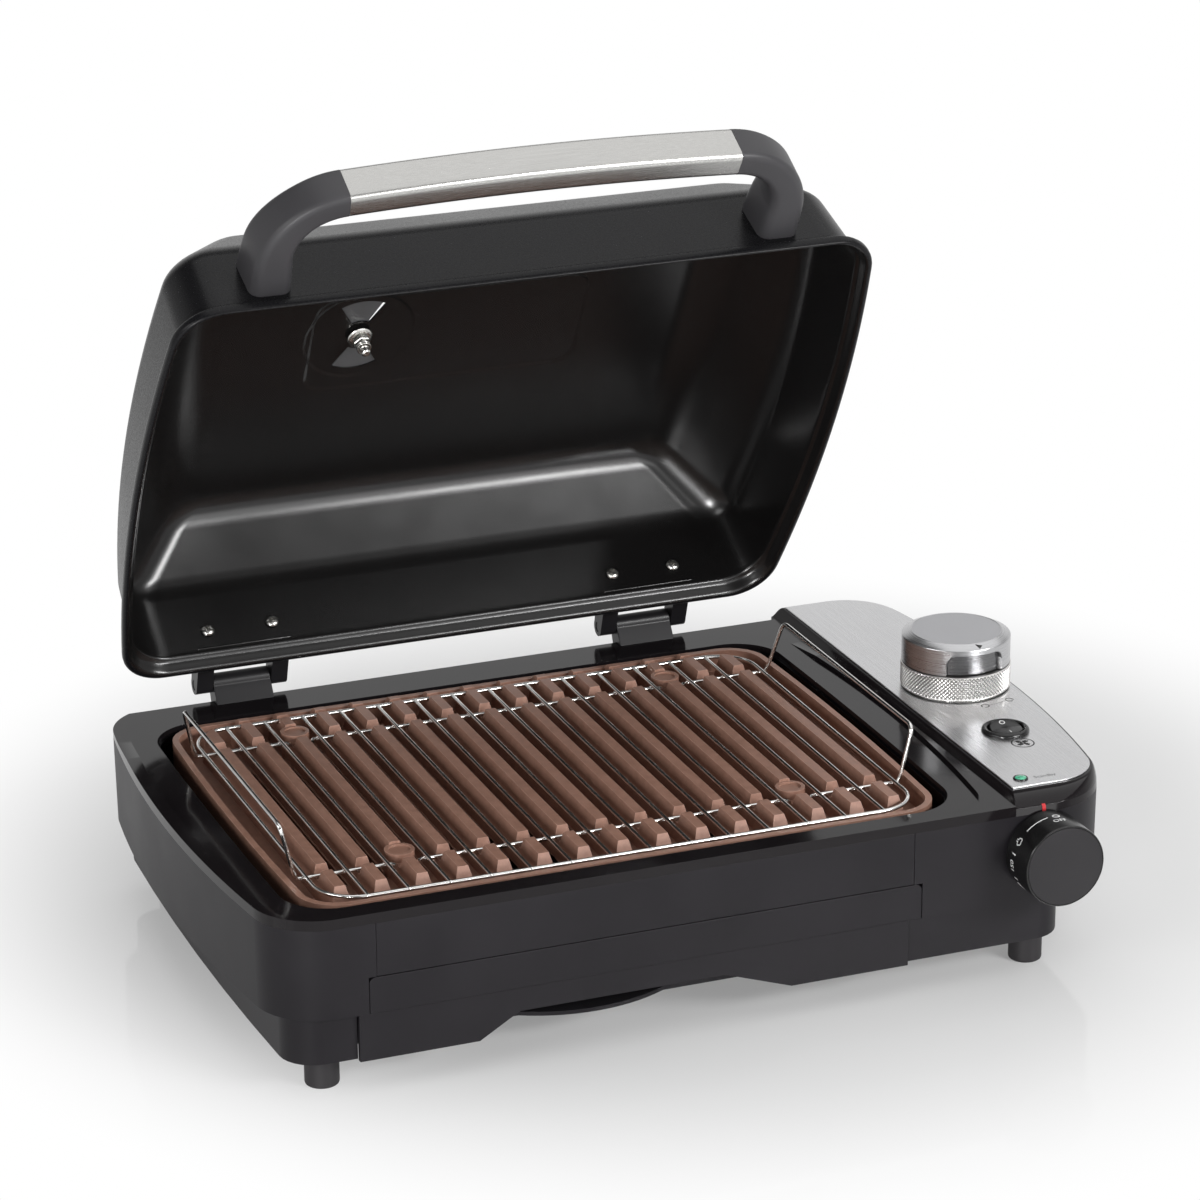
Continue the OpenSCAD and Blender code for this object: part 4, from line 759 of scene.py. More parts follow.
def console_rows():
    """Rows of the console block: round front and sides, an S curve on the side of the grill."""
    n, foot, lean = 14, CONSOLE_X - 4.2, 5.6
    rows = [(console_plan(foot, 0.0, 0.0, BODY_DEPTH), Z_HOUSE)]
    for i in range(n + 1):
        t = i / n
        z = Z_LEDGE + (Z_DECK - Z_LEDGE) * smooth_step(t)
        u = (z - Z_HOUSE) / (Z_DECK - Z_HOUSE)
        drop = 1.0 - math.sqrt(max(1.0 - u * u, 0.0))
        rows.append((console_plan(foot + lean * t, 0.6 * drop, 12.6 * drop, BODY_DEPTH - 3.0 * drop), z))
    return rows


def top_frame():
    past, rim_rear = 1.0, BODY_DEPTH - 4.5
    rim = prism(body_plan(0.0, 0.0), Z_HOUSE, Z_RIM)
    right = block(FRAME_RIGHT, 230.0, -5.0, 290.0, Z_HOUSE - past, Z_RIM + past)
    pocket = prism(pad(GRILL_X, 181.5, 3.7, 264.0, 23.0, 10.0, 16, 30), Z_LEDGE, Z_RIM + past)
    fall = (Z_LEDGE - Z_HOUSE) / (BODY_DEPTH - rim_rear) * past
    rear = across([(214.7, Z_RIM), (240.7, Z_LEDGE), (rim_rear, Z_LEDGE), (BODY_DEPTH, Z_HOUSE),
                   (BODY_DEPTH + past, Z_HOUSE - fall), (BODY_DEPTH + past, Z_RIM + past),
                   (214.7, Z_RIM + past)], -220.0, 216.0)
    combine(rim, [right, pocket, rear])
    combine(rim, [loft(console_rows())], "UNION")
    opening = prism(basin_plan(), Z_HOUSE - past, Z_LEDGE + past)
    combine(rim, [opening] + console_holes(Z_HOUSE - past, Z_DECK + past))
    settle(rim, "top_frame_gloss", "top_frame", frame_gloss, 0.8)


def console_sheet():
    sheet = prism(console_plan(CONSOLE_X + 2.0, 1.8, 12.8, BODY_DEPTH - 4.2), Z_DECK, Z_SHEET)
    combine(sheet, console_holes(Z_DECK - 1.0, Z_SHEET + 1.0))
    settle(sheet, "console_sheet", "console_plate", sheet_steel, 0.3)


def basin():
    low, wall, past = 50.0, 1.2, 1.0
    rod_z, rod_hole = 60.0, 3.6
    pan = prism(basin_plan(), low, Z_HOUSE)
    combine(pan, [prism(basin_plan(5.0, 4.0), Z_HOUSE - wall, Z_HOUSE)], "UNION")
    drain = pad(GRILL_X - 4.0, 124.0, 40.0, 228.0, 18.0, 0.5)
    combine(pan, [prism(basin_plan(-wall, -wall), low + wall, Z_HOUSE + past),
                  prism(drain, low - past, low + wall + past)])
    for y in (50.0, 212.0):
        combine(pan, [across(circle(y, rod_z, rod_hole, 32), GRILL_X + BASIN_HALF - 12.0,
                             GRILL_X + BASIN_HALF + 2.0)])
    settle(pan, "basin_pan", "basin_liner", basin_gloss, 0.9)


# ---------------------------------------------------------------- rack
RACK_Z, CROSS_Z, WIRE = 86.2, 84.3, 2.0
RACK_FRONT, RACK_REAR, RACK_HALF, RACK_R = 23.8, 239.5, 146.25, 20.0
RIB_PITCH, NOTCHES, BOSS_OUT = 19.5, (57.5, 214.5), 97.5
STUB, LOOP_LOW, LOOP_TOP, LOOP_RISE = 147.65, 150.15, 156.75, 111.7


def rounded(points, radius, n=7):
    """The same open line of points with its inner corners rounded."""
    line = [Vector(p) for p in points]
    out = [line[0]]
    for a, b, c in zip(line, line[1:], line[2:]):
        r1, r2 = min(radius, (b - a).length * 0.48), min(radius, (c - b).length * 0.48)
        p, q = b + (a - b).normalized() * r1, b + (c - b).normalized() * r2
        out += [p.lerp(b, i / n).lerp(b.lerp(q, i / n), i / n) for i in range(n + 1)]
    return out + [line[-1]]


def wire_x():
    return [GRILL_X + (i - 6.5) * RIB_PITCH for i in range(14)]


def rack_lines():
    """The outer loop, the long wires, and cross wires that curl round the plate's bosses."""
    hw, r = RACK_HALF - RACK_R, RACK_R
    corners = ((hw, RACK_FRONT + r, -90), (hw, RACK_REAR - r, 0), (-hw, RACK_REAR - r, 90),
               (-hw, RACK_FRONT + r, 180))
    loop = [p for x, y, a in corners for p in arc_deg(GRILL_X + x, y, r, a, a + 90, 14)]
    lines = [([at(x, y, RACK_Z) for x, y in loop], True)]
    lines += [([at(x, RACK_FRONT, RACK_Z), at(x, RACK_REAR, RACK_Z)], False) for x in wire_x()]
    curl, stop = 3.0, 8.5
    for y in NOTCHES:
        into, away = [], []
        for x in (GRILL_X - BOSS_OUT, GRILL_X + BOSS_OUT):
            into.append(arc_deg(x - stop, y - curl, curl, 90, 0, 8))
            away.append(arc_deg(x + stop, y - curl, curl, 180, 90, 8))
        start, end = [(GRILL_X - STUB, y)], [(GRILL_X + STUB, y)]
        for run in (start + into[0], away[0] + into[1], away[1] + end):
            lines.append(([at(*p, CROSS_Z) for p in run], False))
    return lines


def bead(bm, centre, rx, ry, rz):
    """A small weld bead."""
    shape = bmesh.ops.create_icosphere(bm, subdivisions=2, radius=1.0)
    spread = Matrix.Diagonal((rx * MM, ry * MM, rz * MM, 1.0))
    bmesh.ops.transform(bm, matrix=Matrix.Translation(centre) @ spread, verts=shape["verts"])


def rack():
    wire_curve("rack_wires", rack_lines(), WIRE, bright_wire, "wire_rack")
    bm = bmesh.new()
    for x in wire_x():
        for y in NOTCHES:
            if abs(abs(x - GRILL_X) - BOSS_OUT) > 5.0:
                bead(bm, at(x, y, (RACK_Z + CROSS_Z) / 2), 1.25, 1.25, 0.75)
        for y in (RACK_FRONT, RACK_REAR):
            bead(bm, at(x, y, RACK_Z), 1.45, 1.25, 1.2)
    piece("rack_welds", finished_mesh("rack_welds", bm, 60.0), bright_wire, "wire_rack", False)
    low, high = NOTCHES
    lean, corner = 6.0, 5.0
    path = [(STUB, low, CROSS_Z), (LOOP_LOW, low, CROSS_Z), (LOOP_TOP, low, LOOP_RISE),
            (LOOP_TOP, high - lean, LOOP_RISE), (LOOP_LOW, high, CROSS_Z), (STUB, high, CROSS_Z)]
    loops = [(rounded([at(GRILL_X + s * x, y, z) for x, y, z in path], corner * MM), False)
             for s in (-1, 1)]
    wire_curve("rack_loops", loops, WIRE, bright_wire, "rack_handles")


# ---------------------------------------------------------------- grip and brackets
GRIP_HALF, GRIP_ARCH, GRIP_FRONT, GRIP_HEIGHT = 94.5, 3.1, -41.2, 108.7
GRIP_BIG = (GRIP_HALF ** 2 + GRIP_ARCH ** 2) / (2 * GRIP_ARCH)
GRIP_TILT = math.asin(GRIP_HALF / GRIP_BIG)
BAR_DEEP, BAR_HIGH, GRIP_EDGE, BEND = 13.6, 20.1, 3.4, 34.0
LEG_X = GRIP_HALF + BEND * (1 - math.sin(GRIP_TILT))
LEG_FRONT = GRIP_FRONT + BEND * math.cos(GRIP_TILT)
FOOT_SHIFT, FOOT_RISE = -1.3, 24.0


def grip_bar():
    """Arched bar whose two ends are drawn in a little, so that a fine seam shows at each bracket."""
    n, play, draw = 40, 0.12, 0.35
    loops = []
    for i in range(-1, n + 2):
        t = min(max(i, 0), n) / n
        a = GRIP_TILT * (2 * t - 1) * (1 - play / GRIP_HALF)
        end = draw if i in (-1, n + 1) else 0.0
        x = GRIP_BIG * math.sin(a) + 0.25 * end * (1 if i < 0 else -1)
        y = GRIP_FRONT - GRIP_ARCH + GRIP_BIG * (1 - math.cos(a))
        loops.append([at(GRILL_X + x - u * math.sin(a), y + u * math.cos(a), GRIP_HEIGHT + v)
                      for u, v in section(BAR_DEEP - end, BAR_HIGH - end, GRIP_EDGE)])
    bm = bmesh.new()
    skin(bm, loops, capped=True)
    piece("grip_bar", finished_mesh("grip_bar", bm, 35.0, LID_TURN), bar_steel, "handle_bar")


def wall_front(z):
    """Outer face of the lid's front wall at a height, closed."""
    share = (z - LID_LOW - WALL_LOW[0]) / (WALL_TOP[0] - WALL_LOW[0])
    return LID_FRONT + WALL_LOW[2] + (WALL_TOP[2] - WALL_LOW[2]) * share


def bracket(name, node, side):
    """Elbow and leg of the grip: one loft that grows from the bar's section to the foot on the lid."""
    turn = math.pi / 2 - GRIP_TILT
    elbow, leg = BEND * turn, wall_front(LID_LOW + FOOT_RISE) - LEG_FRONT
    bends, steps, overlap = 24, 14, 0.1

    def grown(run):
        """Section, inward shift and height after a run along the bracket."""
        t = smooth_step((run - 0.30 * elbow) / (0.70 * elbow + leg))
        around = section(BAR_DEEP + 0.1 + 6.3 * t, BAR_HIGH + 0.1 + 7.8 * t, GRIP_EDGE + 2.0 * t)
        return around, FOOT_SHIFT * t, GRIP_HEIGHT + (LID_LOW + FOOT_RISE - GRIP_HEIGHT) * t

    loops = []
    for i in range(bends + 1):
        a = turn * (i / bends - 1)
        around, shift, cz = grown(elbow * i / bends)
        radii = [(BEND + shift + u, v) for u, v in around]
        loops.append([(LEG_X - BEND + r * math.cos(a), LEG_FRONT + r * math.sin(a), cz + v)
                      for r, v in radii])
    for i in range(1, steps + 1):
        share = i / steps
        around, shift, cz = grown(elbow + leg * share)
        loops.append([(LEG_X + shift + u,
                       LEG_FRONT + (wall_front(cz + v) + overlap - LEG_FRONT) * share, cz + v)
                      for u, v in around])
    bm = bmesh.new()
    skin(bm, [[at(GRILL_X + side * x, y, z) for x, y, z in loop] for loop in loops], capped=True)
    piece(name, finished_mesh(name, bm, 50.0, LID_TURN), bracket_plastic, node)


# ---------------------------------------------------------------- turned pieces and print
def lathe(profile, n):
    """Loops of points round Z for a profile of (radius, height)."""
    return [[(x, y, z) for x, y in circle(0.0, 0.0, r, n)] for r, z in profile]


def turned_piece(name, profile, centre, finish, node, n=96, degrees=35.0, facing_front=False,
                 closed=True, turn=None, stands_for=True):
    """Solid of revolution; where it faces the front, the profile's height runs forward."""
    bm = bmesh.new()
    skin(bm, lathe(profile + profile[:1] if closed else profile, n))
    bmesh.ops.remove_doubles(bm, verts=bm.verts, dist=1e-5)
    tip = Matrix.Rotation(math.radians(90 if facing_front else 0), 4, "X")
    place = Matrix.Translation(at(*centre)) @ tip @ Matrix.Scale(MM, 4)
    bmesh.ops.transform(bm, matrix=place, verts=bm.verts)
    piece(name, finished_mesh(name, bm, degrees, turn), finish, node, stands_for)


def ribbon(bm, points, width, put, closed=False):
    """Flat stroke of ink along a line drawn in the plane and laid on a surface by put."""
    line = [Vector(p) for p in points]
    n = len(line)
    left, right = [], []
    for i, p in enumerate(line):
        a = line[(i - 1) % n] if closed or i else p
        b = line[(i + 1) % n] if closed or i < n - 1 else p
        along = (b - a).normalized()
        side = Vector((-along.y, along.x)) * width / 2
        left.append(bm.verts.new(put(*(p + side))))
        right.append(bm.verts.new(put(*(p - side))))
    band(bm, right, left, closed)


def text_outline(text, height):
    """Filled letters as a flat mesh, centred on the origin."""
    capital = 0.7
    curve = bpy.data.curves.new("letters", "FONT")
    curve.body, curve.size = text, height / capital
    curve.align_x, curve.align_y = "CENTER", "CENTER"
    obj = linked("letters", curve)
    graph = bpy.context.evaluated_depsgraph_get()
    mesh = bpy.data.meshes.new_from_object(obj.evaluated_get(graph))
    bpy.data.objects.remove(obj)
    bpy.data.curves.remove(curve)
    return mesh


def letters(bm, text, height, centre, put):
    mesh = text_outline(text, height)
    start = len(bm.verts)
    bm.from_mesh(mesh)
    bpy.data.meshes.remove(mesh)
    bm.verts.ensure_lookup_table()
    for vert in bm.verts[start:]:
        vert.co = put(centre[0] + vert.co.x, centre[1] + vert.co.y)


def ink_piece(name, bm, finish, node, thick=0.03):
    """A thin raised print from flat strokes, riding with a node."""
    obj = piece(name, finished_mesh(name, bm, 180.0), finish, node, False)
    mod = obj.modifiers.new("print", "SOLIDIFY")
    mod.thickness, mod.offset = thick * MM, 0.0


def on_knob(u, v):
    """u millimetres round the skirt from its left side over the top, v toward the panel."""
    a, r = math.pi - u / KNOB_R, KNOB_R + 0.03
    return at(KNOB_X + r * math.cos(a), v, KNOB_Z + r * math.sin(a))


def on_sheet(x, y):
    return at(x, y, Z_SHEET + 0.04)


# ---------------------------------------------------------------- knob
def knob():
    centre = (KNOB_X, KNOB_BACK, KNOB_Z)
    skirt = [(0.0, 19.6), (18.0, 19.6), (18.0, 0.0), (19.7, 0.0), (20.1, 0.4), (20.1, 20.7), (20.0, 21.2),
             (19.75, 21.5), (19.4, 21.5), (19.25, 21.25), (19.2, 20.9), (0.0, 20.9)]
    face = [(0.0, 20.8), (19.15, 20.8), (19.15, 21.55), (19.0, 21.75), (18.7, 21.8), (0.0, 21.8)]
    hub = [(3.2, 0.1), (6.0, 0.1), (6.0, 16.1), (3.2, 16.1)]
    turned_piece("knob_skirt", skirt, centre, knob_gloss, "thermostat_knob", 128, 30.0, True)
    turned_piece("knob_face", face, centre, knob_plastic, "thermostat_knob", 128, 30.0, True,
                 stands_for=False)
    turned_piece("knob_hub", hub, centre, knob_plastic, "thermostat_knob", 40, 30.0, True,
                 stands_for=False)


def knob_marks():
    """Scale round the skirt: ring and OFF, line, smoke puff, ticks and numbers."""
    bm = bmesh.new()
    middle, ring_u, ring_v, stroke = -9.4, 1.7, 1.25, 0.6

    def along(degrees):
        return math.radians(180.0 - degrees) * KNOB_R

    ribbon(bm, [(along(a), middle) for a in range(99, 134, 2)], stroke, on_knob)
    ring = circle(0.0, 0.0, 1.0, 20)
    ribbon(bm, [(along(86.8) + ring_u * u, middle + ring_v * v) for u, v in ring], stroke, on_knob, True)
    letters(bm, "OFF", 2.7, (along(88.0), middle - 5.0), on_knob)
    puff = [(-0.9, 4.4), (-0.7, 2.2), (-2.4, 2.1), (-3.2, 0.7), (-2.3, -0.5), (-2.2, -1.8), (-0.8, -2.4),
            (0.7, -1.8), (2.0, -2.0), (3.0, -0.6), (2.4, 0.7), (2.6, 2.0), (0.8, 2.2), (0.9, 4.4)]
    size = 0.62
    ribbon(bm, [(along(150.0) + size * u, size * v - 9.5) for u, v in puff], 0.5, on_knob)
    for a, mark in ((168.6, ""), (187.0, "150"), (206.0, ""), (224.0, "200"), (243.0, ""), (262.0, "250")):
        if mark:
            letters(bm, mark, 2.9, (along(a), -7.6), on_knob)
        else:
            ribbon(bm, [(along(a), -6.6), (along(a), -10.2)], 0.65, on_knob)
    ink_piece("knob_marks", bm, white_ink, "thermostat_knob")


# ---------------------------------------------------------------- smoker cup and cap
def cup_loop(radius, z, n):
    """Loop round the cup's axis; radius is a number or a function of the angle."""
    points = []
    for i in range(n):
        a = 2 * math.pi * i / n
        r = radius(a) if callable(radius) else radius
        points.append(at(CUP_X + r * math.cos(a), CUP_FRONT + r * math.sin(a), z))
    return points


def knurled_ring():
    """Ring with a cut diamond knurl between two plain edges, and the bowl below it."""
    teeth, per, rows = 84, 6, 52
    depth, plain, edge = 0.75, 0.7, 0.45
    pitch = 2 * math.pi * RING_R / teeth

    def knurl(z):
        fade = smooth_step((min(z - RING_LOW, RING_TOP - z) - plain * 0.4) / plain)
        v = (z - RING_LOW) / pitch

        def radius(a):
            u = a * teeth / (2 * math.pi)
            groove = max(abs(2 * ((u + v) % 1.0) - 1), abs(2 * ((u - v) % 1.0) - 1))
            return RING_R - 0.05 - depth * fade * max(groove - 0.25, 0.0) / 0.75
        return radius

    heights = [RING_LOW + (RING_TOP - RING_LOW) * j / rows for j in range(rows + 1)]
    loops = [cup_loop(RING_R - edge if j in (0, rows) else knurl(z), z, teeth * per)
             for j, z in enumerate(heights)]
    inner, wall, base = 19.9, 1.2, 61.8
    for r, z in ((inner, RING_TOP), (inner, base), (inner + wall, base - wall), (inner + wall, RING_LOW)):
        loops.append(cup_loop(r, z, teeth * per))
    bm = bmesh.new()
    rings = skin(bm, loops)
    band(bm, rings[-1], rings[0])
    bm.faces.new(rings[rows + 2])
    piece("knurled_ring", finished_mesh("knurled_ring", bm, 25.0), knurled_metal, "smoker_cup")


def cap_side(angle, z):
    """Radius of the cap's side, with the finger notch cut into it."""
    middle, half, rise, r, deep = math.radians(-92.4), math.radians(33.0) * CAP_R, 10.6, 5.0, 2.3
    s = (angle - middle + math.pi) % (2 * math.pi) - math.pi
    inside = depth_inside(abs(s * CAP_R) - half + r, (z - CAP_LOW) - rise + r, r)
    return CAP_R - deep * smooth_step(0.5 + inside / 0.5)


def smoker_cap():
    n, rows = 540, 40
    side_top, disc_z, bevel_r, disc_r = CAP_TOP - 2.4, CAP_TOP - 0.15, 22.7, 21.8
    loops = []
    for j in range(rows + 1):
        z = CAP_LOW + (side_top - CAP_LOW) * j / rows
        low = 0.3 if j == 0 else 0.0
        loops.append(cup_loop(lambda a: cap_side(a, z) - low, z, n))
    upper = [(CAP_R - 0.12, side_top + 0.25), (CAP_R - 0.4, side_top + 0.5), (bevel_r, disc_z),
             (22.4, CAP_TOP), (22.2, CAP_TOP), (22.0, disc_z), (disc_r, disc_z), (10.0, disc_z),
             (0.01, disc_z)]
    under = [(0.01, CAP_LOW + 3.0), (18.2, CAP_LOW + 3.0), (18.2, CAP_LOW - 5.0), (19.7, CAP_LOW - 5.0),
             (19.7, CAP_LOW)]
    loops += [cup_loop(r, z, n) for r, z in upper + under]
    bm = bmesh.new()
    rings = skin(bm, loops)
    band(bm, rings[-1], rings[0])
    cap = piece("smoker_cap_turned", finished_mesh("smoker_cap", bm, 22.0), turned_cap, "smoker_cap")
    cap.data.materials.append(cap_disc.mat)
    for face in cap.data.polygons:
        c = face.center - at(CUP_X, CUP_FRONT, 0.0)
        on_disc = c.z > (CAP_TOP - 0.3) * MM and math.hypot(c.x, c.y) < (disc_r + 0.1) * MM
        face.material_index = int(on_disc)

    def on_bevel(x, y):
        share = (math.hypot(x - CUP_X, y - CUP_FRONT) - bevel_r) / (CAP_R - 0.4 - bevel_r)
        return at(x, y, disc_z + (side_top + 0.5 - disc_z) * share + 0.04)

    bm = bmesh.new()
    pointer = [(-1.0, -23.0), (2.4, -24.2), (0.2, -26.2)]
    bm.faces.new([bm.verts.new(on_bevel(CUP_X + x, CUP_FRONT + y)) for x, y in pointer])
    ink_piece("cap_pointer", bm, black_ink, "smoker_cap")


# ---------------------------------------------------------------- switch, lamp and prints on the sheet
def rocker_switch():
    ring = [(11.6, 0.0), (11.6, 0.8), (11.35, 1.5), (10.7, 2.0), (9.9, 2.1), (9.3, 1.85), (8.95, 1.3),
            (8.9, -6.0), (10.2, -6.0), (10.2, 0.0)]
    turned_piece("rocker_ring", ring, (ROCKER_X, ROCKER_FRONT, Z_SHEET), knob_gloss, "rocker_bezel", 80)
    pivot, top, rise, n = Z_SHEET - 3.0, 4.68, 0.13, 64
    low = [[(x, y, z) for x, y in circle(0.0, 0.0, r, n)] for r, z in ((7.6, -2.0), (8.0, -1.5))]
    high = [[(x, y, z + rise * abs(y)) for x, y in circle(0.0, 0.0, r, n)] for r, z in
            ((8.0, 4.1), (7.9, 4.45), (7.6, 4.62), (7.0, top), (5.0, top), (3.0, top), (1.0, top))]
    bm = bmesh.new()
    skin(bm, low + high, capped=True)
    tilt = (Matrix.Translation(at(ROCKER_X, ROCKER_FRONT, pivot))
            @ Matrix.Rotation(math.radians(7.0), 4, "X") @ Matrix.Scale(MM, 4))
    piece("rocker_paddle", finished_mesh("rocker_paddle", bm, 12.0, tilt), knob_gloss, "rocker")

    def on_paddle(x, y):
        return tilt @ Vector((x, y, top + rise * abs(y) + 0.03))

    bm = bmesh.new()
    stroke = 0.42
    ribbon(bm, circle(0.0, 4.6, 1.25, 40), stroke, on_paddle, True)
    ribbon(bm, [(0.0, -5.8), (0.0, -3.4)], stroke, on_paddle)
    ink_piece("rocker_marks", bm, white_ink, "rocker")


def lamp_lens():
    centre = (LENS_X, LENS_FRONT, Z_SHEET)
    dome = [(0.01, 1.25), (1.2, 1.18), (2.2, 0.95), (2.8, 0.6), (2.85, 0.0), (2.85, -6.0), (0.01, -6.0)]
    turned_piece("lamp_dome", dome, centre, green_lens, "indicator_lens", 48, 40.0, closed=False)
    ring = [(2.9, 0.0), (3.6, 0.0), (3.6, 0.3), (3.4, 0.6), (3.1, 0.65), (2.9, 0.45)]
    turned_piece("lamp_ring", ring, centre, knob_gloss, "rocker_bezel", 48, stands_for=False)


def sheet_marks():
    """Fan sign in a ring, two open rings and an arc beside the cup, and the word by the lamp."""
    bm = bmesh.new()
    fan_x, fan_y, fan_r, stroke = 186.3, 61.0, 5.4, 0.6
    ribbon(bm, circle(fan_x, fan_y, fan_r, 48), 0.62, on_sheet, True)
    blade = [(0.5, 0.0), (1.4, 0.45), (2.4, 0.55), (3.3, 0.25), (3.8, -0.3)]
    for k in range(4):
        a = math.radians(90 * k + 25)
        line = [(fan_x + x * math.cos(a) - y * math.sin(a), fan_y + x * math.sin(a) + y * math.cos(a))
                for x, y in blade]
        for start, end, width in zip(line, line[1:], (1.6, 2.2, 2.1, 1.0)):
            ribbon(bm, [start, end], width, on_sheet)
    ribbon(bm, arc_deg(191.0, 111.0, 1.9, -120.0, 200.0, 26), stroke, on_sheet)
    ribbon(bm, arc_deg(205.6, 114.0, 1.9, -20.0, 300.0, 26), stroke, on_sheet)
    ribbon(bm, arc_deg(CUP_X, CUP_FRONT, 33.2, -85.0, -66.5, 16), 0.18, on_sheet)
    ink_piece("sheet_marks", bm, black_ink, "console_plate")
    bm = bmesh.new()
    letters(bm, "Standby", 2.5, (177.4, 20.4), on_sheet)
    ink_piece("lamp_word", bm, grey_ink, "console_plate")


# ---------------------------------------------------------------- fasteners and vent
def screw(bm, place, head_r, head_h, shank_r, shank_l):
    """Domed head with a cross recess; the shank runs down the local Z axis."""
    profile = [(0.01, -shank_l), (shank_r, -shank_l), (shank_r, 0.0), (head_r * 0.96, 0.0), (head_r, 0.15),
               (head_r * 0.97, head_h * 0.35), (head_r * 0.82, head_h * 0.7), (head_r * 0.55, head_h * 0.93)]
    arm, half, deep, draft = head_r * 0.52, head_r * 0.11, head_h * 0.7, 0.8
    rings = skin(bm, lathe(profile, 32))
    cross = []
    for k in range(4):
        a = k * math.pi / 2
        for u, v in ((arm, -half), (arm, half), (half, half)):
            cross.append((u * math.cos(a) - v * math.sin(a), u * math.sin(a) + v * math.cos(a)))
    top = [bm.verts.new((x, y, head_h)) for x, y in cross]
    floor = [bm.verts.new((x * draft, y * draft, head_h - deep)) for x, y in cross]
    band(bm, top, floor)
    bm.faces.new(floor)
    fill_between(bm, (rings[-1], top))
    made = [v for ring in rings for v in ring] + top + floor
    bmesh.ops.transform(bm, matrix=place @ Matrix.Scale(MM, 4), verts=made)


def aimed(point, direction, spin):
    """Matrix that puts the local Z axis along a direction at a point."""
    turn = Vector(direction).to_track_quat("Z", "Y").to_matrix().to_4x4()
    return Matrix.Translation(point) @ turn @ Matrix.Rotation(math.radians(spin), 4, "Z")


def screw_set(name, node, places, size, turn=None):
    bm = bmesh.new()
    for place in places:
        screw(bm, place, *size)
    piece(name, finished_mesh(name, bm, 30.0, turn), bright_screw, node)


def fasteners():
    """Hinge screws in the lid's rear wall, handle screws in its front wall and screws in the base."""
    sides = (-1, 1)
    rear_in, screw_rise = 252.3, 19.5
    places = [aimed(at(GRILL_X + s * x, rear_in - 0.35, LID_LOW + screw_rise), (0, -1, 0), 20 + 31 * x * s)
              for s in sides for x in (90.8, 124.0)]
    screw_set("hinge_screw_heads", "hinge_screws", places, (3.4, 1.9, 1.75, 8.6), LID_TURN)
    places = [aimed(at(GRILL_X + s * (LEG_X + FOOT_SHIFT), wall_front(LID_LOW + h) + LID_SHEET + 0.95,
                       LID_LOW + h), (0, 1, 0), 17 * h * s)
              for s in sides for h in (15.0, 31.0)]
    screw_set("handle_screw_heads", "handle_screws", places, (4.0, 2.0, 1.95, 11.0), LID_TURN)
    places = [aimed(at(-10.0 + s * 187.5, y, 18.9), (0, 0, -1), 40 * s + y)
              for s in sides for y in (40.0, 233.0)]
    screw_set("base_screw_heads", "base_screws", places, (2.7, 1.15, 1.5, 22.0))


def hinge_beads():
    """Pressed lines in the lid's rear wall under the hinge screws."""
    rise, out, n = 9.5, 107.5, 8
    profile = ((-24.5, 0.02), (-24.2, 0.45), (-23.2, 0.62), (23.2, 0.62), (24.2, 0.45), (24.5, 0.02))
    share = (rise - WALL_LOW[0]) / (WALL_TOP[0] - WALL_LOW[0])
    y = LID_REAR - mix(WALL_LOW, WALL_TOP, share)[3] - LID_SHEET + 0.1
    bm = bmesh.new()
    for s in (-1, 1):
        skin(bm, [[at(GRILL_X + s * out + x, y - r * math.sin(math.pi * a / n),
                      LID_LOW + rise + r * math.cos(math.pi * a / n)) for a in range(n + 1)]
                  for x, r in profile], False)
    mesh = finished_mesh("hinge_lines", bm, 60.0, LID_TURN)
    piece("hinge_lines", mesh, lid_inside, "lid_shell", False)


def vent_parts():
    """Washer, stud, nut and spring of the vent, drawn with the lid closed."""
    low, top = -LID_SHEET, 0.0
    crown = LID_LOW + CROWN[0]
    centre = (VENT_X, VENT_FRONT, crown)
    washer = [(2.55, low - 0.5), (6.0, low - 0.5), (6.3, low - 0.9), (5.9, low - 1.3), (4.6, low - 1.9),
              (2.55, low - 2.1)]
    turned_piece("vent_washer_domed", washer, centre, bright_screw, "vent_washer", 72, turn=LID_TURN)
    stud = [(0.01, low - 12.0), (1.6, low - 12.0), (2.3, low - 11.4), (2.3, low - 9.0), (2.5, low - 8.8),
            (2.5, top + 5.2), (4.0, top + 5.2), (4.0, top + 6.4), (3.4, top + 7.0), (0.01, top + 7.2)]
    turned_piece("vent_stud_turned", stud, centre, bright_screw, "vent_stud", 40, turn=LID_TURN)
    nut = [(3.9, low - 2.2), (4.4, low - 2.6), (4.4, low - 4.6), (3.9, low - 5.0)]
    bm = bmesh.new()
    skin(bm, [[at(x, y, crown + z) for x, y in arc_deg(VENT_X, VENT_FRONT, r, 12, 312, 5)]
              for r, z in nut], capped=True)
    piece("vent_nut", finished_mesh("vent_nut", bm, 20.0, LID_TURN), bright_screw, "vent_stud", False)
    turns, per, coil_r, coil_wire, rise = 2.6, 24, 3.25, 1.0, 1.15
    helix = []
    for i in range(int(turns * per) + 1):
        a = 2 * math.pi * i / per
        helix.append(LID_TURN @ at(VENT_X + coil_r * math.cos(a), VENT_FRONT + coil_r * math.sin(a),
                                   crown + low - 5.6 - rise * i / per))
    wire_curve("vent_spring_coil", [(helix, False)], coil_wire, bright_screw, "vent_spring")


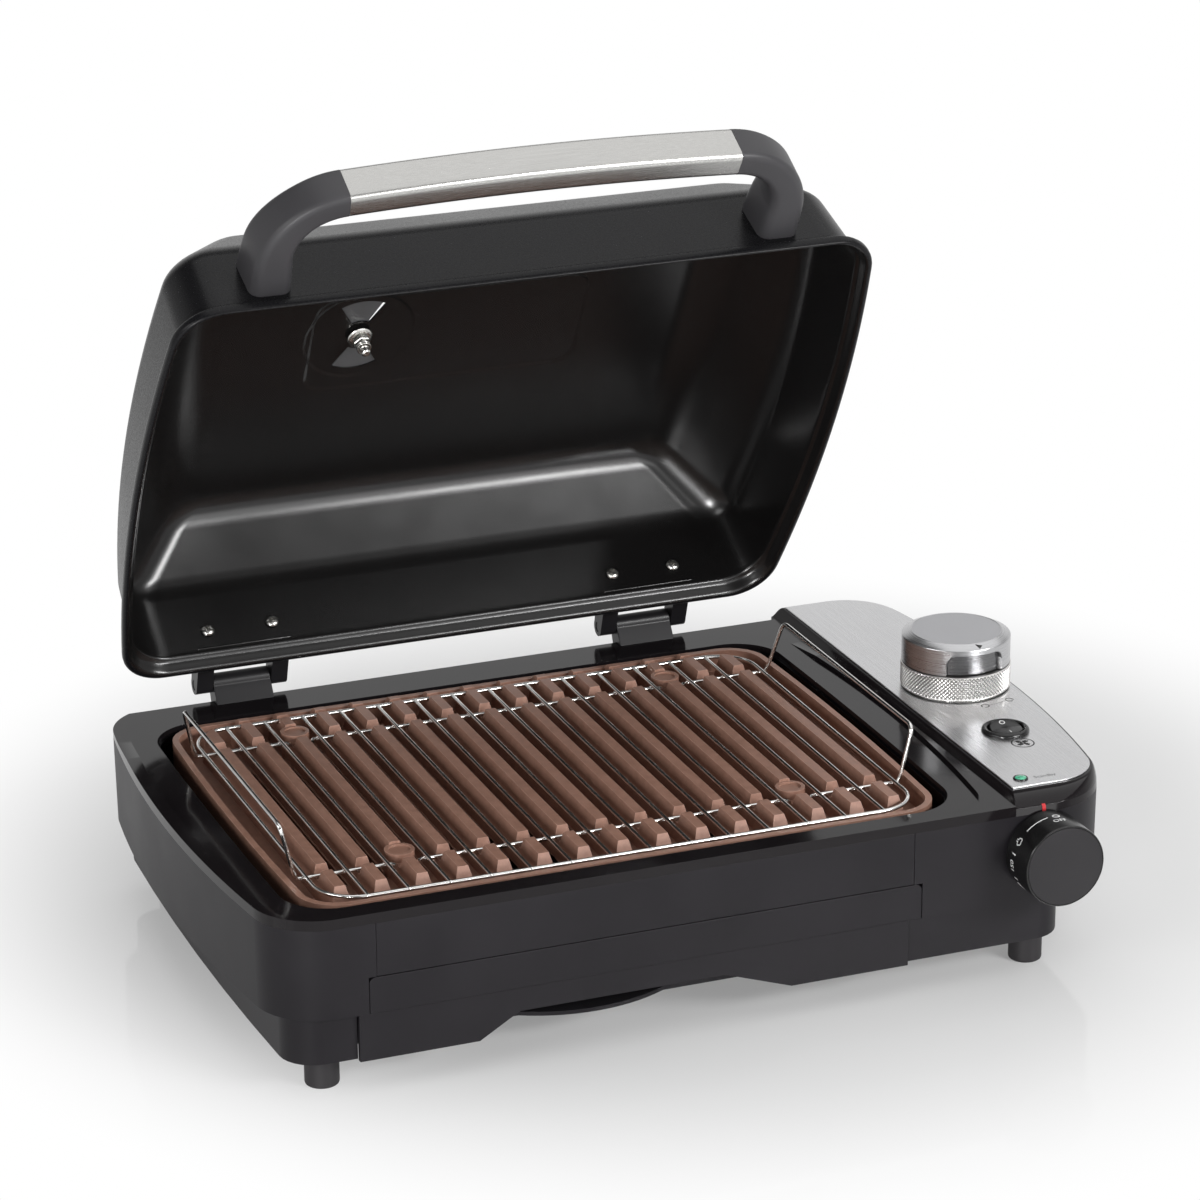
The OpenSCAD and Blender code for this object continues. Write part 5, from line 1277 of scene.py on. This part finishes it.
# the other nodes: finish and radius of their edges
DRESSED = {
    "base_pan": (housing_plastic, 0.8), "feet": (foot_rubber, 0.8), "front_panel": (housing_plastic, 0.15),
    "pointer_mark": (red_ink, 0.0), "heating_element": (rod_steel, 0.0),
    "element_cradles": (bright_screw, 0.2), "terminal_blocks": (white_ceramic, 0.5),
    "grill_plate": (plate_brown, 0.6), "drip_tray": (tray_coat, 0.3),
    "drip_tray_front": (housing_plastic, 0.35), "hinge_leaves": (trim_plastic, 0.5),
    "hinge_arms": (trim_plastic, 0.5), "hinge_pins": (trim_plastic, 0.3), "vent_dial": (dial_metal, 0.3),
    "smoker_well": (bright_screw, 0.2), "chip_screen": (bright_screw, 0.1),
    "thermostat": (white_ceramic, 0.4), "thermostat_shaft": (bright_screw, 0.2),
    "fan_shroud": (trim_plastic, 0.3), "fan_motor": (bright_screw, 0.3),
    "fan_impeller": (trim_plastic, 0.15), "cord_gland": (trim_plastic, 0.5)}

lid_shell()
housing()
top_frame()
console_sheet()
basin()
rack()
grip_bar()
bracket("left_bracket_moulded", "left_bracket", -1)
bracket("right_bracket_moulded", "right_bracket", 1)
knob()
knob_marks()
knurled_ring()
smoker_cap()
rocker_switch()
lamp_lens()
sheet_marks()
fasteners()
hinge_beads()
vent_parts()
for dressed_node, (dressed_finish, dressed_edge) in DRESSED.items():
    dress(dressed_node, dressed_finish, dressed_edge)


# ---------------------------------------------------------------- stage, lamps and camera
def floor_and_backdrop():
    """Pale floor that keeps the shadow near the part and fades to plain white away from it; for glossy rays
    it glows less toward the left, a light that shows only in the part's reflections.
    """
    size, grey, middle = 6.0, 0.64, (0.07, 0.06)
    bm = bmesh.new()
    bm.faces.new([bm.verts.new((x, y, 0.0)) for x, y in
                  ((-size, -size), (size, -size), (size, size), (-size, size))])
    mesh = bpy.data.meshes.new("floor")
    bm.to_mesh(mesh)
    bm.free()
    floor = linked("floor", mesh)
    f = Finish("floor_paper", (grey, grey, grey), 0.08, Specular_IOR_Level=0.60)
    f.put("Roughness", f.span(f.noise(3, 2), 0.3, 0.7, 0.05, 0.09))
    away = f.vector_value("LENGTH", f.mapped("Location", (-middle[0], -middle[1], 0.0)))
    far = f.span(away, 0.24, 0.42, 0.24, 1.0)
    path = f.add("ShaderNodeLightPath").outputs
    # glow seen only by glossy rays, weaker toward the left: light for the part's reflections, not a lamp
    glossy_glow = f.span(f.split(f.place)["X"], -1.1, -0.2, 0.25, 0.65)
    seen = f.calc(path["Is Camera Ray"], f.calc(path["Is Glossy Ray"], glossy_glow, "MULTIPLY"), "MAXIMUM")
    seen = f.calc(seen, path["Is Transmission Ray"], "MAXIMUM")
    both = f.add("ShaderNodeMixShader")
    f.link(f.calc(far, seen, "MULTIPLY"), both.inputs[0])
    f.link(f.shader.outputs[0], both.inputs[1])
    f.link(f.add("ShaderNodeEmission").outputs[0], both.inputs[2])
    out = [n for n in f.tree.nodes if n.type == "OUTPUT_MATERIAL"][0]
    f.link(both.outputs[0], out.inputs["Surface"])
    mesh.materials.append(f.mat)


def world_light():
    """White for the camera; as light, bright low and behind, darker in front, left and overhead."""
    world = bpy.data.worlds.new("studio")
    bpy.context.scene.world = world
    world.use_nodes = True
    g = Graph(world.node_tree)
    back = g.tree.nodes["Background"]
    way = g.split(g.add("ShaderNodeTexCoord").outputs["Generated"])
    behind = g.calc(g.span(way["Y"], -0.35, 0.45, 0.45, 0.90), g.span(way["X"], -0.6, 0.1, 0.45, 1.0),
                    "MULTIPLY")
    low = g.span(way["Z"], 0.28, 0.66, 1.0, 0.14)
    seen = g.add("ShaderNodeLightPath").outputs["Is Camera Ray"]
    g.link(g.calc(g.calc(behind, low, "MULTIPLY"), seen, "MAXIMUM"), back.inputs["Strength"])
    back.inputs["Color"].default_value = (1, 1, 1, 1)


def softbox(name, place, aim, width, height, watts):
    lamp = bpy.data.lights.new(name, "AREA")
    lamp.shape = "RECTANGLE"
    lamp.size, lamp.size_y = width, height
    lamp.energy = watts
    obj = linked(name, lamp)
    obj.location = place
    obj.rotation_euler = (Vector(aim) - Vector(place)).to_track_quat("-Z", "Y").to_euler()


def camera():
    """The photograph's view: about 2 m away, 20 degrees up and 21 degrees to the left of straight on."""
    eye = Vector((-0.7162, -1.8301, 0.8878))
    look = Vector((0.34304, 0.87315, -0.34630))
    right = Vector((0.92994, -0.36767, -0.00585))
    up = right.cross(look).normalized()
    right = look.cross(up).normalized()
    cam = bpy.data.cameras.new("camera")
    cam.lens = 131.8
    cam.sensor_width = 36.0
    obj = linked("camera", cam)
    turn = Matrix((right, up, -look.normalized())).transposed().to_4x4()
    obj.matrix_world = Matrix.Translation(eye) @ turn
    bpy.context.scene.camera = obj


floor_and_backdrop()
world_light()
softbox("front_box", (0.5, -2.3, 0.55), (0, 0, 0.12), 1.8, 0.5, 8)
softbox("corner_strip", (-1.25, -1.70, 0.20), (-0.15, -0.1, 0.05), 0.30, 0.36, 24)
softbox("lid_box", (1.12, -1.75, 1.02), (0, 0.05, 0.25), 1.0, 0.28, 34)
softbox("left_box", (-1.75, -0.55, 0.95), (-0.05, 0, 0.1), 1.2, 0.6, 11)
softbox("top_box", (0.60, -0.05, 2.2), (0.05, 0.0, 0.1), 3.4, 3.2, 38)
camera()
bpy.context.scene.view_settings.view_transform = "Standard"
